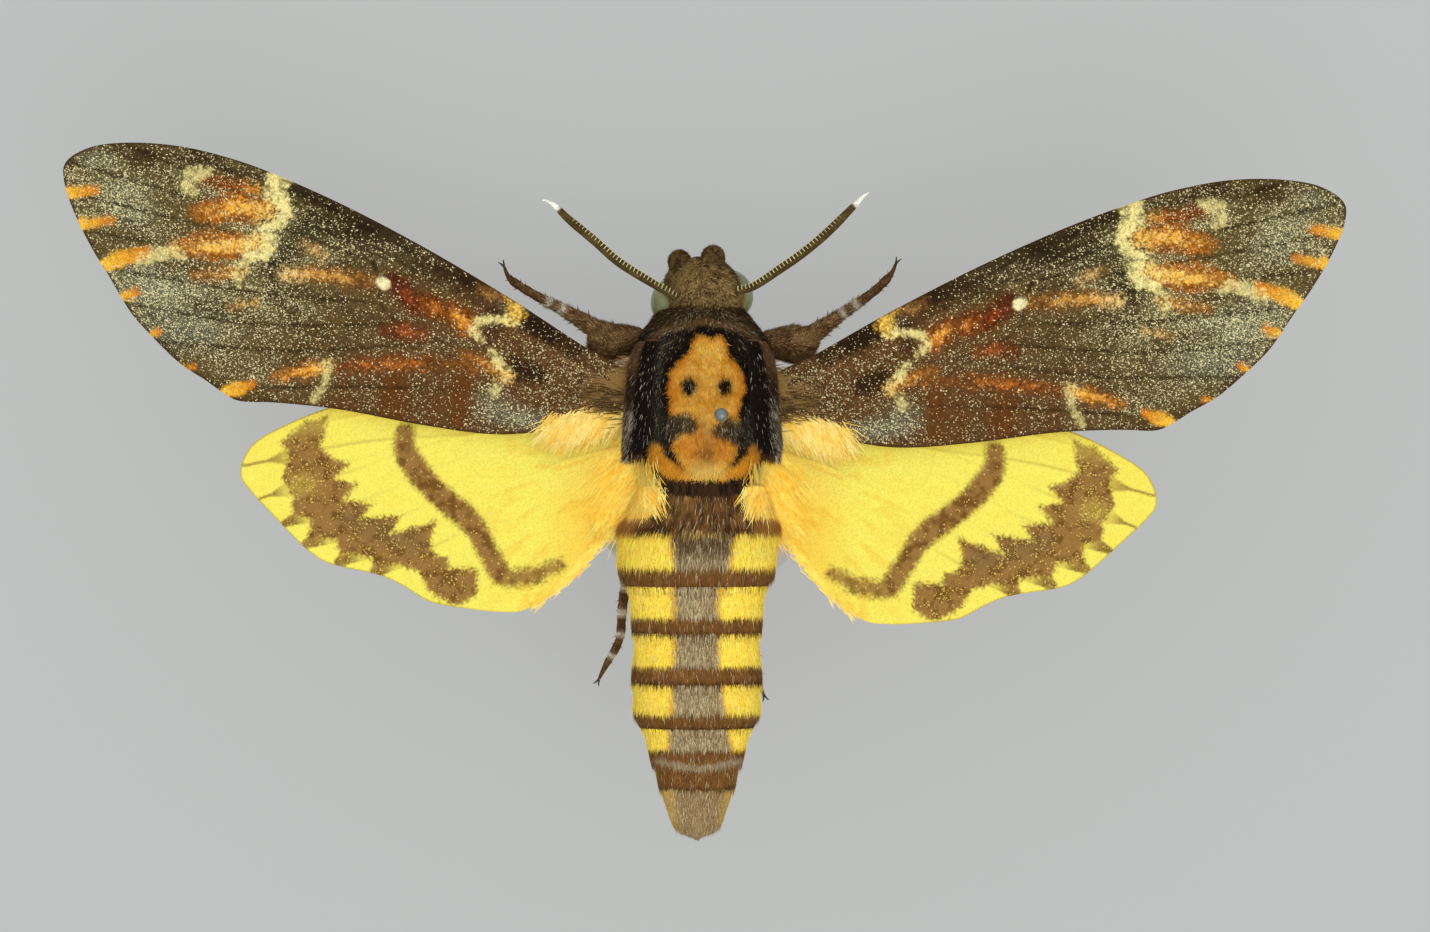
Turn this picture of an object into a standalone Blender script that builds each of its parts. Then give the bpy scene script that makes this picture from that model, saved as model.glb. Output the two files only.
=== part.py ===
"""A death's-head hawkmoth as a museum keeps it: wings spread, on an insect pin, over a small round base.

It is life size. +X is the moth's right as the reader sees it from above, +Y is towards its head and +Z is up.
The origin is the centre of the base's underside. Sizes below are in millimetres.
"""

import math

import bmesh
import bpy
import numpy as np
from mathutils import Vector
from mathutils.geometry import delaunay_2d_cdt

MM = 0.001
GAP = 0.3  # between two nodes that meet

# The stand: a round base and a steel pin down through the right of the thorax
BASE_RADIUS = 11.5
BASE_HEIGHT = 6.0
BASE_BEVEL = 0.5
PIN_X, PIN_Y = 1.8, 5.8
PIN_RADIUS = 0.3
PIN_HEAD_RADIUS = 0.63
PIN_TOP = 40.0
PIN_SOCKET_DEPTH = 4.0

# Body cross-sections: y, middle x, middle z, half width, height above the middle, depth below it
COLLAR = (
    (16.10, 0.0, 22.0, 4.0, 4.0, 4.2),
    (15.40, 0.0, 22.0, 4.6, 4.7, 4.9),
    (14.60, 0.0, 22.0, 5.2, 5.3, 5.5),
    (13.85, 0.0, 22.0, 5.8, 5.7, 6.0),
)
THORAX = (
    (13.55, 0.0, 22.0, 6.0, 5.8, 6.05),
    (12.5, 0.0, 22.0, 6.55, 6.1, 6.3),
    (11.2, 0.0, 22.0, 7.0, 6.4, 6.5),
    (9.0, 0.0, 22.0, 7.2, 6.8, 6.9),
    (6.0, 0.0, 22.0, 7.1, 7.0, 7.0),
    (3.2, 0.0, 22.0, 6.7, 6.8, 6.9),
    (1.0, -0.1, 22.0, 6.1, 6.1, 6.4),
    (-0.45, -0.1, 22.0, 5.8, 5.5, 6.0),
)
HEAD = (
    (15.2, 0.0, 21.9, 4.4, 3.6, 3.7),
    (16.8, 0.0, 21.9, 4.3, 3.8, 3.9),
    (18.2, 0.0, 21.8, 3.9, 3.7, 3.8),
    (19.4, 0.0, 21.6, 3.2, 3.2, 3.4),
    (20.3, 0.0, 21.4, 2.4, 2.4, 2.7),
    (20.9, 0.0, 21.3, 1.2, 1.3, 1.5),
)
NECK_Y = 16.4  # where the head is parted from the collar
HEAD_TURN = math.radians(8.0)  # the head looks a little to the left
HEAD_PIVOT_Y = 16.8

# The abdomen: how wide it is along its length, and where each segment's rear margin lies
ABDOMEN_FRONT = -0.75
ABDOMEN_MARGINS = (-5.25, -10.2, -14.7, -19.4, -23.6, -27.0, -29.45)
ABDOMEN_TIP = -34.0
ABDOMEN_WIDTHS = (
    (-0.75, 6.4), (-3.0, 7.2), (-5.3, 7.9), (-9.0, 7.5), (-10.2, 6.9), (-14.7, 6.25),
    (-19.4, 6.3), (-22.0, 6.2), (-23.6, 5.5), (-27.0, 4.45), (-29.5, 3.75), (-31.5, 3.0),
    (-33.2, 2.25), (-34.0, 1.4),
)
ABDOMEN_ROUNDNESS = 0.9  # its height as a share of its width
ABDOMEN_BEND = -0.5  # its middle lies this far to the left of the thorax's
ABDOMEN_DROOP = 1.6  # from front to tip
SEGMENT_TUCK = 0.28  # each segment starts this much narrower, under the one before it
SQUARENESS = 2.25  # exponent of the cross-sections: 2 is an ellipse

# Shoulder covers (tegulae): a curved plate over each forewing's root
TEGULA_FRONT, TEGULA_REAR = 13.0, 2.5
TEGULA_LOW, TEGULA_HIGH = math.radians(24.0), math.radians(57.0)
TEGULA_THICKNESS = 0.6
TEGULA_FLARE = 1.3  # how far its rear end stands off

# Wing outlines from the shoulder: outwards, forwards. Both sides are the same wing, swept differently.
FOREWING = (
    (-3.0, 0.0), (4.0, 1.45), (8.1, 2.35), (12.2, 3.2), (20.5, 4.6), (29.0, 5.6), (36.5, 6.0),
    (41.0, 5.85), (45.3, 5.25), (49.5, 4.0), (52.9, 2.3), (54.7, 0.1), (54.1, -1.9), (52.0, -4.4),
    (49.4, -6.75), (47.3, -8.35), (45.2, -10.05), (43.4, -11.3), (40.2, -12.85), (37.8, -13.8),
    (35.2, -14.35), (33.3, -14.85), (31.5, -15.0), (28.2, -13.9), (22.5, -12.4), (14.8, -11.0),
    (8.2, -9.4), (3.0, -7.0), (-1.0, -5.0), (-3.4, -4.0),
)
HINDWING = (
    (-3.0, 1.6), (4.0, 3.4), (12.0, 4.3), (20.0, 4.2), (26.5, 3.2), (31.6, 1.2), (34.3, -0.5),
    (35.35, -2.8), (34.75, -4.4), (31.6, -7.8), (29.5, -9.95), (27.7, -11.3), (25.6, -11.95),
    (22.3, -12.7), (20.2, -13.65), (17.8, -15.1), (15.5, -15.65), (11.2, -16.15), (8.4, -15.85),
    (5.2, -13.55), (2.5, -10.6), (0.4, -7.2), (-1.6, -4.6), (-3.4, -2.6),
)
FOREWING_VEINS = (
    ((1.0, 0.3), (12.0, 2.4), (24.0, 4.1), (36.0, 5.4)),  # subcosta
    ((1.0, -0.7), (10.0, 0.9), (20.0, 2.2), (30.0, 3.6), (42.0, 4.9)),  # first radial
    ((23.0, 2.3), (34.0, 2.9), (49.0, 3.2)),
    ((24.5, 1.6), (38.0, 1.4), (53.4, 0.2)),  # to the apex
    ((24.0, 1.0), (38.0, -0.6), (53.0, -2.4)),
    ((23.2, -0.2), (37.0, -2.6), (50.3, -5.3)),
    ((22.6, -1.8), (35.0, -5.3), (47.0, -7.7)),
    ((20.0, -2.9), (33.0, -7.8), (44.1, -10.0)),
    ((15.5, -2.9), (28.0, -8.6), (39.6, -12.2)),
    ((1.0, -1.9), (8.0, -2.0), (15.5, -2.9), (20.0, -2.9), (22.6, -1.8), (23.2, -0.2), (24.5, 1.6)),
    ((1.0, -3.2), (9.0, -5.6), (20.0, -9.2), (32.5, -13.7)),  # anal
)
HINDWING_VEINS = (
    ((0.5, 1.6), (10.0, 3.0), (20.0, 2.9), (30.4, 0.9)),
    ((0.5, 0.6), (8.0, 1.2), (14.5, 0.4), (24.0, -0.2), (34.0, -2.4)),
    ((14.5, 0.4), (24.0, -2.6), (32.2, -6.2)),
    ((14.2, -1.6), (22.0, -5.0), (30.0, -8.6)),
    ((13.4, -3.2), (19.8, -7.0), (27.2, -10.9)),
    ((11.8, -3.8), (17.0, -8.0), (23.8, -11.9)),
    ((9.0, -3.6), (13.8, -8.2), (19.8, -13.0)),
    ((0.5, -0.6), (5.0, -2.0), (9.0, -3.6), (13.4, -3.2), (14.5, 0.4)),
    ((0.4, -2.0), (5.6, -7.0), (11.2, -15.0)),
    ((0.2, -3.4), (3.4, -8.0), (6.6, -13.8)),
)
VEIN_STEP = 3.2  # between points along a vein
VEIN_HALF_WIDTH = 0.42
VEIN_HEIGHT = 0.14
WING_HALF_THICKNESS = 0.25

# Where each wing joins (x, y) and how far its outline is turned, anticlockwise positive on the right
SHOULDERS = {
    "forewing_l": (-8.44, 9.94, math.radians(20.97)),
    "forewing_r": (7.88, 9.38, math.radians(17.34)),
    "hindwing_l": (-7.97, 3.56, 0.0),
    "hindwing_r": (7.61, 3.11, math.radians(-3.88)),
}
FOREWING_Z = 23.95
HINDWING_Z = 22.75
WING_RISE = 1.8  # from root to tip
WING_ROOT_X, WING_TIP_X = 8.0, 60.0
WING_TILT = 0.015  # the front edge stands a little higher

# Eyes, palps, tongue
EYE_X, EYE_Y, EYE_Z = 2.72, 16.85, 21.5
EYE_RADII = (2.15, 2.4, 2.4)
PALP = ((1.05, 17.9, 17.2), (1.45, 19.9, 17.7), (1.6, 20.75, 20.0), (1.55, 20.35, 23.2), (1.5, 20.2, 23.9))
PALP_RADII = (0.9, 1.15, 1.2, 1.1, 0.6)
TONGUE_CENTRE = (19.15, 15.2)  # y, z of the coil
TONGUE_OUTER, TONGUE_INNER = 1.75, 0.62
TONGUE_TURNS = 1.25
TONGUE_RADIUS = 0.33

# Antennae: thick, ridged, and ending in a fine hook. Points along each, from its root
ANTENNA_L = (
    (-2.3, 16.9, 24.6), (-4.3, 18.05, 25.0), (-7.7, 20.15, 25.5), (-10.05, 22.2, 25.7),
    (-12.5, 24.25, 25.6), (-13.65, 25.4, 25.5), (-14.45, 25.95, 25.4), (-14.95, 26.05, 25.3),
)
ANTENNA_R = (
    (3.2, 17.5, 24.6), (4.9, 18.0, 25.0), (7.2, 19.5, 25.4), (9.5, 21.1, 25.7),
    (11.75, 23.0, 25.7), (14.0, 25.25, 25.5), (15.2, 26.45, 25.4), (15.65, 26.75, 25.3),
)
ANTENNA_RADIUS = 0.43
ANTENNA_GROOVE = 0.1
ANTENNA_RIDGES = 26
ANTENNA_HOOK = 0.86  # share of the length where the hook starts
ANTENNA_HOOK_RADIUS = 0.3
ANTENNA_TIP_RADIUS = 0.12

# Legs: joints and radii from the body to the claws
FORELEG_L = (
    (-5.6, 13.0, 19.6), (-7.2, 13.0, 19.8), (-8.9, 12.9, 20.1), (-10.3, 14.2, 20.4), (-12.8, 15.7, 20.5),
    (-16.0, 17.4, 20.3), (-18.1, 18.8, 20.0), (-18.8, 20.1, 19.6),
)
FORELEG_R = (
    (5.6, 12.7, 19.6), (7.4, 12.7, 19.8), (9.3, 12.8, 20.1), (11.2, 14.1, 20.4), (13.6, 15.75, 20.5),
    (16.2, 17.6, 20.3), (17.8, 19.2, 20.0), (18.4, 20.4, 19.6),
)
FORELEG_RADII = (  # share of the length, radius
    (0.0, 1.2), (0.1, 1.6), (0.19, 1.95), (0.26, 1.8), (0.33, 1.0), (0.45, 0.75), (0.55, 0.6), (0.75, 0.52),
    (0.9, 0.48), (0.94, 0.3), (1.0, 0.2),
)
MIDLEG = (
    (3.2, 7.6, 16.6), (5.8, 6.6, 15.2), (8.6, 5.2, 15.4), (9.8, 1.6, 14.6), (10.7, -1.6, 13.8),
    (11.3, -4.4, 13.3), (11.8, -6.4, 13.0), (12.0, -7.2, 12.7),
)
HINDLEG_L = (
    (-2.6, 2.6, 16.6), (-4.4, 0.4, 14.8), (-6.4, -3.2, 14.6), (-6.9, -8.0, 14.8), (-7.6, -12.2, 15.2),
    (-7.9, -15.4, 15.4), (-9.2, -17.9, 15.4), (-9.9, -19.3, 15.2),
)
HINDLEG_R = (
    (2.6, 2.6, 16.6), (4.4, 0.4, 14.8), (5.9, -3.2, 14.2), (5.2, -8.0, 14.2), (4.9, -12.6, 14.4),
    (5.1, -16.4, 14.6), (5.5, -19.6, 14.8), (5.9, -20.8, 14.8),
)
LOWER_LEG_RADII = (
    (0.0, 1.15), (0.14, 1.2), (0.29, 1.0), (0.43, 0.75), (0.57, 0.6), (0.71, 0.55), (0.86, 0.42), (1.0, 0.2),
)

BODY_SIDES = 32
HEAD_SIDES = 28
LEG_SIDES, LEG_STEPS = 10, 18
ANTENNA_SIDES = 6
EYE_COLUMNS, EYE_ROWS = 20, 12
BASE_SIDES, PIN_SIDES = 48, 16


def clear_scene():
    for obj in list(bpy.data.objects):
        bpy.data.objects.remove(obj, do_unlink=True)


def material(name, colour, roughness, metallic=0.0):
    made = bpy.data.materials.new(name)
    made.use_nodes = True
    shader = made.node_tree.nodes["Principled BSDF"]
    shader.inputs["Base Color"].default_value = (*colour, 1.0)
    shader.inputs["Roughness"].default_value = roughness
    shader.inputs["Metallic"].default_value = metallic
    return made


def make_node(name, points, faces, finish=None):
    """One closed object from points in millimetres."""
    mesh = bpy.data.meshes.new(name)
    mesh.from_pydata([tuple(c * MM for c in p) for p in points], [], faces)
    mesh.shade_smooth()
    work = bmesh.new()
    work.from_mesh(mesh)
    bmesh.ops.recalc_face_normals(work, faces=work.faces)
    work.to_mesh(mesh)
    work.free()
    obj = bpy.data.objects.new(name, mesh)
    bpy.context.scene.collection.objects.link(obj)
    if finish:
        mesh.materials.append(finish)
    return obj


def smooth_curve(points, count, closed=False):
    """Points along a Catmull-Rom curve through the given ones, evenly spaced by length."""
    p = np.array(points, float)
    n = len(p)
    spans = n if closed else n - 1
    fine = []
    for i in range(spans):
        a = p[(i - 1) % n] if closed or i > 0 else 2 * p[0] - p[1]
        b, c = p[i], p[(i + 1) % n]
        d = p[(i + 2) % n] if closed or i + 2 < n else 2 * p[-1] - p[-2]
        for t in np.linspace(0, 1, 16, endpoint=False):
            fine.append(
                0.5 * (2 * b + (c - a) * t + (2 * a - 5 * b + 4 * c - d) * t**2 + (3 * b - a - 3 * c + d) * t**3)
            )
    fine.append(p[0] if closed else p[-1])
    fine = np.array(fine)
    length = np.r_[0, np.cumsum(np.linalg.norm(np.diff(fine, axis=0), axis=1))]
    wanted = np.linspace(0, length[-1], count + 1 if closed else count)
    if closed:
        wanted = wanted[:-1]
    return np.column_stack([np.interp(wanted, length, fine[:, axis]) for axis in range(p.shape[1])])


def cross_section(row, grow=0.0, sides=BODY_SIDES):
    """The points round one upright section, a rounded ellipse that is grown by a margin if asked."""
    y, x, z, half_width, up, down = row
    points = []
    for i in range(sides):
        turn = 2 * math.pi * i / sides
        across = math.copysign(abs(math.cos(turn)) ** (2 / SQUARENESS), math.cos(turn))
        upright = math.copysign(abs(math.sin(turn)) ** (2 / SQUARENESS), math.sin(turn))
        height = (up if upright > 0 else down) + grow
        points.append((x + (half_width + grow) * across, y, z + height * upright))
    return points


def loft(rows, grow=0.0, sides=BODY_SIDES):
    """Points and faces of a body through its sections, closed by a flat at each end."""
    rows = [tuple(row) for row in rows]
    if grow:
        first, last = rows[0], rows[-1]
        way = math.copysign(grow, last[0] - first[0])
        rows = [(first[0] - way, *first[1:])] + rows + [(last[0] + way, *last[1:])]
    points = [point for row in rows for point in cross_section(row, grow, sides)]
    faces = []
    for ring in range(len(rows) - 1):
        for i in range(sides):
            a, b = ring * sides + i, ring * sides + (i + 1) % sides
            faces.append((a, b, b + sides, a + sides))
    faces.append(tuple(range(sides)))
    faces.append(tuple(reversed(range(len(points) - sides, len(points)))))
    return points, faces


def finer(rows, count):
    """The same sections, with more of them on a smooth curve between."""
    return [tuple(row) for row in smooth_curve(rows, count)]


def tube(route, radii, steps, sides, ridges=0, groove=0.0, ridge_end=1.0):
    """Points and faces of a tube whose radius runs through the given ones, with rings cut round it if asked."""
    centres = smooth_curve(route, steps)
    along = np.linspace(0, 1, steps)
    width = np.interp(along, np.linspace(0, 1, len(radii)), radii)
    if ridges:
        width = width - groove * (np.arange(steps) % 2) * (along < ridge_end)
    points = []
    start = Vector(centres[1] - centres[0]).normalized()
    across = Vector((1, 0, 0)) if abs(start.z) > 0.9 else Vector((0, 0, 1))
    for i, centre in enumerate(centres):
        ahead = Vector(centres[min(i + 1, steps - 1)] - centres[max(i - 1, 0)]).normalized()
        across = (across - ahead * across.dot(ahead)).normalized()
        other = ahead.cross(across)
        for j in range(sides):
            turn = 2 * math.pi * j / sides
            points.append(Vector(centre) + (across * math.cos(turn) + other * math.sin(turn)) * float(width[i]))
    faces = []
    for i in range(steps - 1):
        for j in range(sides):
            a, b = i * sides + j, i * sides + (j + 1) % sides
            faces.append((a, b, b + sides, a + sides))
    faces.append(tuple(reversed(range(sides))))
    faces.append(tuple(range(len(points) - sides, len(points))))
    return points, faces


def ellipsoid(centre, radii, grow=0.0, columns=EYE_COLUMNS, rows=EYE_ROWS):
    """Points and faces of an egg with its poles at top and bottom."""
    size = [r + grow for r in radii]
    points = [(centre[0], centre[1], centre[2] + size[2])]
    for i in range(1, rows):
        down = math.pi * i / rows
        for j in range(columns):
            turn = 2 * math.pi * j / columns
            points.append((
                centre[0] + size[0] * math.sin(down) * math.cos(turn),
                centre[1] + size[1] * math.sin(down) * math.sin(turn),
                centre[2] + size[2] * math.cos(down),
            ))
    points.append((centre[0], centre[1], centre[2] - size[2]))
    faces = [(0, 1 + j, 1 + (j + 1) % columns) for j in range(columns)]
    for i in range(rows - 2):
        for j in range(columns):
            a, b = 1 + i * columns + j, 1 + i * columns + (j + 1) % columns
            faces.append((a, a + columns, b + columns, b))
    end = len(points) - 1
    faces += [(end, end - columns + (j + 1) % columns, end - columns + j) for j in range(columns)]
    return points, faces


def turned(shape):
    """The shape with the head's turn given to it."""
    points, faces = shape
    c, s = math.cos(HEAD_TURN), math.sin(HEAD_TURN)
    moved = []
    for x, y, z in points:
        y -= HEAD_PIVOT_Y
        moved.append((x * c - y * s, x * s + y * c + HEAD_PIVOT_Y, z))
    return moved, faces


def mirrored(points):
    return [(-p[0], *p[1:]) for p in points]


def keep_largest(obj):
    """Keeps only the closed surface of greatest reach."""
    work = bmesh.new()
    work.from_mesh(obj.data)
    left = set(work.verts)
    islands = []
    while left:
        island, front = set(), [left.pop()]
        while front:
            vert = front.pop()
            island.add(vert)
            for edge in vert.link_edges:
                other = edge.other_vert(vert)
                if other in left:
                    left.remove(other)
                    front.append(other)
        islands.append(island)
    islands.sort(key=len)
    for island in islands[:-1]:
        bmesh.ops.delete(work, geom=list(island), context="VERTS")
    work.to_mesh(obj.data)
    work.free()


def cut_away(obj, *cutters):
    """Cuts each shape out of the object and drops any loose scrap."""
    for shape in cutters:
        cutter = make_node("cutter", *shape)
        step = obj.modifiers.new("cut", "BOOLEAN")
        step.operation = "DIFFERENCE"
        step.object = cutter
        graph = bpy.context.evaluated_depsgraph_get()
        result = bpy.data.meshes.new_from_object(obj.evaluated_get(graph))
        obj.modifiers.clear()
        obj.data = result
        bpy.data.objects.remove(cutter, do_unlink=True)
    keep_largest(obj)


def part_flat(obj, y):
    """Removes what lies behind a plane across the body, and closes the cut."""
    work = bmesh.new()
    work.from_mesh(obj.data)
    everything = list(work.verts) + list(work.edges) + list(work.faces)
    plane = Vector((0, y * MM, 0))
    bmesh.ops.bisect_plane(work, geom=everything, plane_co=plane, plane_no=(0, -1, 0), clear_outer=True)
    open_edges = [edge for edge in work.edges if edge.is_boundary]
    bmesh.ops.contextual_create(work, geom=open_edges)
    bmesh.ops.recalc_face_normals(work, faces=work.faces)
    work.to_mesh(obj.data)
    work.free()


def abdomen_rows():
    """Sections of the abdomen: each segment is tucked under the one before and flares to its rear margin."""
    depths = np.array([row[0] for row in ABDOMEN_WIDTHS])[::-1]
    widths = np.array([row[1] for row in ABDOMEN_WIDTHS])[::-1]
    length = ABDOMEN_FRONT - ABDOMEN_TIP

    def row(y, change):
        share = (ABDOMEN_FRONT - y) / length
        half = float(np.interp(y, depths, widths)) + change
        x = ABDOMEN_BEND * min(1.0, share * 5)
        z = 21.9 - ABDOMEN_DROOP * share**1.5
        return (y, x, z, half, half * ABDOMEN_ROUNDNESS, half * ABDOMEN_ROUNDNESS)

    rows = []
    front = ABDOMEN_FRONT
    for margin in ABDOMEN_MARGINS:
        tuck = 0.0 if front == ABDOMEN_FRONT else SEGMENT_TUCK
        rows.append(row(front, -tuck))
        rows.append(row(front + 0.35 * (margin - front), 0.0))
        rows.append(row(margin, 0.05))
        front = margin - 0.12
    rows += [row(front, -SEGMENT_TUCK)]
    rows += [row(y, 0.0) for y in (-31.0, -32.4, -33.3, -33.8, ABDOMEN_TIP)]
    return rows


def wing_height(x, y, root_z):
    share = min(1.0, max(0.0, (abs(x) - WING_ROOT_X) / (WING_TIP_X - WING_ROOT_X)))
    return root_z + WING_RISE * math.sin(share * math.pi / 2) + WING_TILT * y


def distance_to(lines, u, v):
    """How far a point is from the nearest of the lines."""
    best = 1e9
    for line in lines:
        a, b = line[:-1], line[1:]
        run = b - a
        t = np.clip(((u - a[:, 0]) * run[:, 0] + (v - a[:, 1]) * run[:, 1]) / (run**2).sum(axis=1), 0, 1)
        near = a + run * t[:, None]
        best = min(best, float(np.hypot(near[:, 0] - u, near[:, 1] - v).min()))
    return best


def wing(side, outline, veins, shoulder, root_z, outline_count):
    """A thin membrane with its veins raised in both faces, which are split into the same triangles."""
    rim = smooth_curve(outline[::-1], outline_count, closed=True)
    lines = []
    for vein in veins:
        length = float(np.linalg.norm(np.diff(np.array(vein), axis=0), axis=1).sum())
        lines.append(smooth_curve(vein, max(3, round(length / VEIN_STEP) + 1)))
    flat = [tuple(p) for p in rim]
    edges = []
    for line in lines:
        ahead = np.gradient(line, axis=0)
        ahead /= np.linalg.norm(ahead, axis=1)[:, None]
        aside = np.column_stack([-ahead[:, 1], ahead[:, 0]]) * VEIN_HALF_WIDTH
        for row in (line, line + aside, line - aside):
            start = len(flat)
            flat += [tuple(p) for p in row]
            edges += [(i, i + 1) for i in range(start, len(flat) - 1)]
    made = delaunay_2d_cdt([Vector(p) for p in flat], edges, [list(range(len(rim)))], 0, 0.02)
    plane, triangles, inside = made[0], made[2], made[5]
    triangles = [tri for tri, of in zip(triangles, inside) if 0 in of]
    used = sorted({i for tri in triangles for i in tri})
    place = {old: new for new, old in enumerate(used)}
    triangles = [tuple(place[i] for i in tri) for tri in triangles]
    across, forward, sweep = shoulder
    top, bottom = [], []
    for old in used:
        u, v = plane[old]
        ridge = VEIN_HEIGHT * max(0.0, 1 - distance_to(lines, u, v) / VEIN_HALF_WIDTH)
        x = across + side * (u * math.cos(sweep) - v * math.sin(sweep))
        y = forward + u * math.sin(sweep) + v * math.cos(sweep)
        z = wing_height(x, y, root_z)
        top.append((x, y, z + WING_HALF_THICKNESS + ridge))
        bottom.append((x, y, z - WING_HALF_THICKNESS - ridge / 2))
    count = len(used)
    faces = list(triangles) + [tuple(i + count for i in reversed(tri)) for tri in triangles]
    seen = {(tri[i], tri[(i + 1) % 3]) for tri in triangles for i in range(3)}
    for a, b in seen:
        if (b, a) not in seen:
            faces.append((b, a, a + count))
            faces.append((b, a + count, b + count))
    return top + bottom, faces


def tegula(side):
    """A shoulder cover: a patch of the thorax's own surface, lifted off it and thickened."""
    rows = finer(THORAX, 60)
    stations, turns = 12, 9
    layers = []
    for lift, inset in ((GAP, 0.0), (GAP + TEGULA_THICKNESS, 0.05)):
        layer = []
        for i in range(stations):
            share = i / (stations - 1)
            y = TEGULA_FRONT + (TEGULA_REAR - TEGULA_FRONT) * share
            row = min(rows, key=lambda r: abs(r[0] - y))
            spread = math.sin(math.pi * (0.16 + 0.72 * share)) ** 0.5
            middle = (TEGULA_LOW + TEGULA_HIGH) / 2 - 0.12 * share
            half = (TEGULA_HIGH - TEGULA_LOW) / 2 * spread * (1 - inset)
            grow = lift + TEGULA_FLARE * share**3
            for j in range(turns):
                turn = middle - half + 2 * half * j / (turns - 1)
                across = abs(math.cos(turn)) ** (2 / SQUARENESS)
                upright = abs(math.sin(turn)) ** (2 / SQUARENESS)
                layer.append((
                    row[1] + side * (row[3] + grow) * across,
                    y,
                    row[2] + (row[4] + grow) * upright,
                ))
        layers.append(layer)
    points = layers[0] + layers[1]
    count = len(layers[0])
    faces = []
    for i in range(stations - 1):
        for j in range(turns - 1):
            a = i * turns + j
            faces.append((a, a + 1, a + turns + 1, a + turns))
            faces.append((count + a, count + a + turns, count + a + turns + 1, count + a + 1))
    border = [j for j in range(turns)]
    border += [i * turns + turns - 1 for i in range(1, stations)]
    border += [(stations - 1) * turns + j for j in range(turns - 2, -1, -1)]
    border += [i * turns for i in range(stations - 2, 0, -1)]
    for a, b in zip(border, border[1:] + border[:1]):
        faces.append((a, a + count, b + count, b))
    return points, faces


def tongue():
    """The short, thick tongue, coiled on edge under the face."""
    route = []
    for i in range(25):
        share = i / 24
        turn = math.radians(100) + 2 * math.pi * TONGUE_TURNS * share
        reach = TONGUE_OUTER + (TONGUE_INNER - TONGUE_OUTER) * share
        route.append((0.0, TONGUE_CENTRE[0] + reach * math.cos(turn), TONGUE_CENTRE[1] + reach * math.sin(turn)))
    return tube(route, (TONGUE_RADIUS, TONGUE_RADIUS * 0.7), 25, 8)


def cylinder(x, y, low, high, radius, sides=20):
    return tube([(x, y, low), (x, y, high)], (radius, radius), 2, sides)


def add_body(finishes):
    head = make_node("head", *turned(loft(finer(HEAD, 12), sides=HEAD_SIDES)), finishes["head"])
    part_flat(head, NECK_Y)
    eye_shapes, palp_shapes = {}, {}
    for suffix, side in (("l", -1), ("r", 1)):
        centre = (side * EYE_X, EYE_Y, EYE_Z)
        make_node("eye_" + suffix, *turned(ellipsoid(centre, EYE_RADII)), finishes["eye"])
        eye_shapes[suffix] = turned(ellipsoid(centre, EYE_RADII, GAP))
        route = PALP if side > 0 else mirrored(PALP)
        palp_shapes[suffix] = turned(tube(route, PALP_RADII, 10, 12))
    cut_away(head, *eye_shapes.values())
    grown_head = turned(loft(finer(HEAD, 12), GAP, HEAD_SIDES))
    for suffix, shape in palp_shapes.items():
        palp = make_node("palp_" + suffix, *shape, finishes["head"])
        cut_away(palp, grown_head, *eye_shapes.values())
    make_node("tongue", *turned(tongue()), finishes["leg"])
    for suffix, route in (("l", ANTENNA_L), ("r", ANTENNA_R)):
        steps = 2 * ANTENNA_RIDGES + 7
        stations = (0, 0.5, ANTENNA_HOOK, 1)
        thickness = (ANTENNA_RADIUS, ANTENNA_RADIUS, ANTENNA_HOOK_RADIUS, ANTENNA_TIP_RADIUS)
        radii = np.interp(np.linspace(0, 1, 15), stations, thickness)
        shape = tube(route, radii, steps, ANTENNA_SIDES, ANTENNA_RIDGES, ANTENNA_GROOVE, ANTENNA_HOOK)
        antenna = make_node("antenna_" + suffix, *shape, finishes["antenna"])
        cut_away(antenna, grown_head, *eye_shapes.values())
    collar = make_node("collar", *loft(finer(COLLAR, 5)), finishes["thorax"])
    cut_away(collar, *eye_shapes.values())
    thorax = make_node("thorax", *loft(finer(THORAX, 13)), finishes["thorax"])
    cut_away(thorax, cylinder(PIN_X, PIN_Y, 0.0, PIN_TOP, PIN_RADIUS + GAP))
    make_node("abdomen", *loft(abdomen_rows()), finishes["abdomen"])
    for suffix, side in (("l", -1), ("r", 1)):
        make_node("tegula_" + suffix, *tegula(side), finishes["thorax"])


def add_wings(finishes, body_cutters):
    kinds = (
        ("forewing_", FOREWING, FOREWING_VEINS, FOREWING_Z, 74, finishes["forewing"]),
        ("hindwing_", HINDWING, HINDWING_VEINS, HINDWING_Z, 60, finishes["hindwing"]),
    )
    for kind, outline, veins, root_z, count, finish in kinds:
        for suffix, side in (("l", -1), ("r", 1)):
            name = kind + suffix
            shape = wing(side, outline, veins, SHOULDERS[name], root_z, count)
            cut_away(make_node(name, *shape, finish), *body_cutters)


def add_legs(finishes, body_cutters):
    legs = (
        ("foreleg_l", FORELEG_L, FORELEG_RADII),
        ("foreleg_r", FORELEG_R, FORELEG_RADII),
        ("midleg_l", mirrored(MIDLEG), LOWER_LEG_RADII),
        ("midleg_r", MIDLEG, LOWER_LEG_RADII),
        ("hindleg_l", HINDLEG_L, LOWER_LEG_RADII),
        ("hindleg_r", HINDLEG_R, LOWER_LEG_RADII),
    )
    for name, route, measures in legs:
        shares, radii = zip(*measures)
        radii = np.interp(np.linspace(0, 1, 3 * LEG_STEPS), shares, radii)
        leg = make_node(name, *tube(route, radii, LEG_STEPS, LEG_SIDES), finishes["leg"])
        cut_away(leg, *body_cutters)


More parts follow.
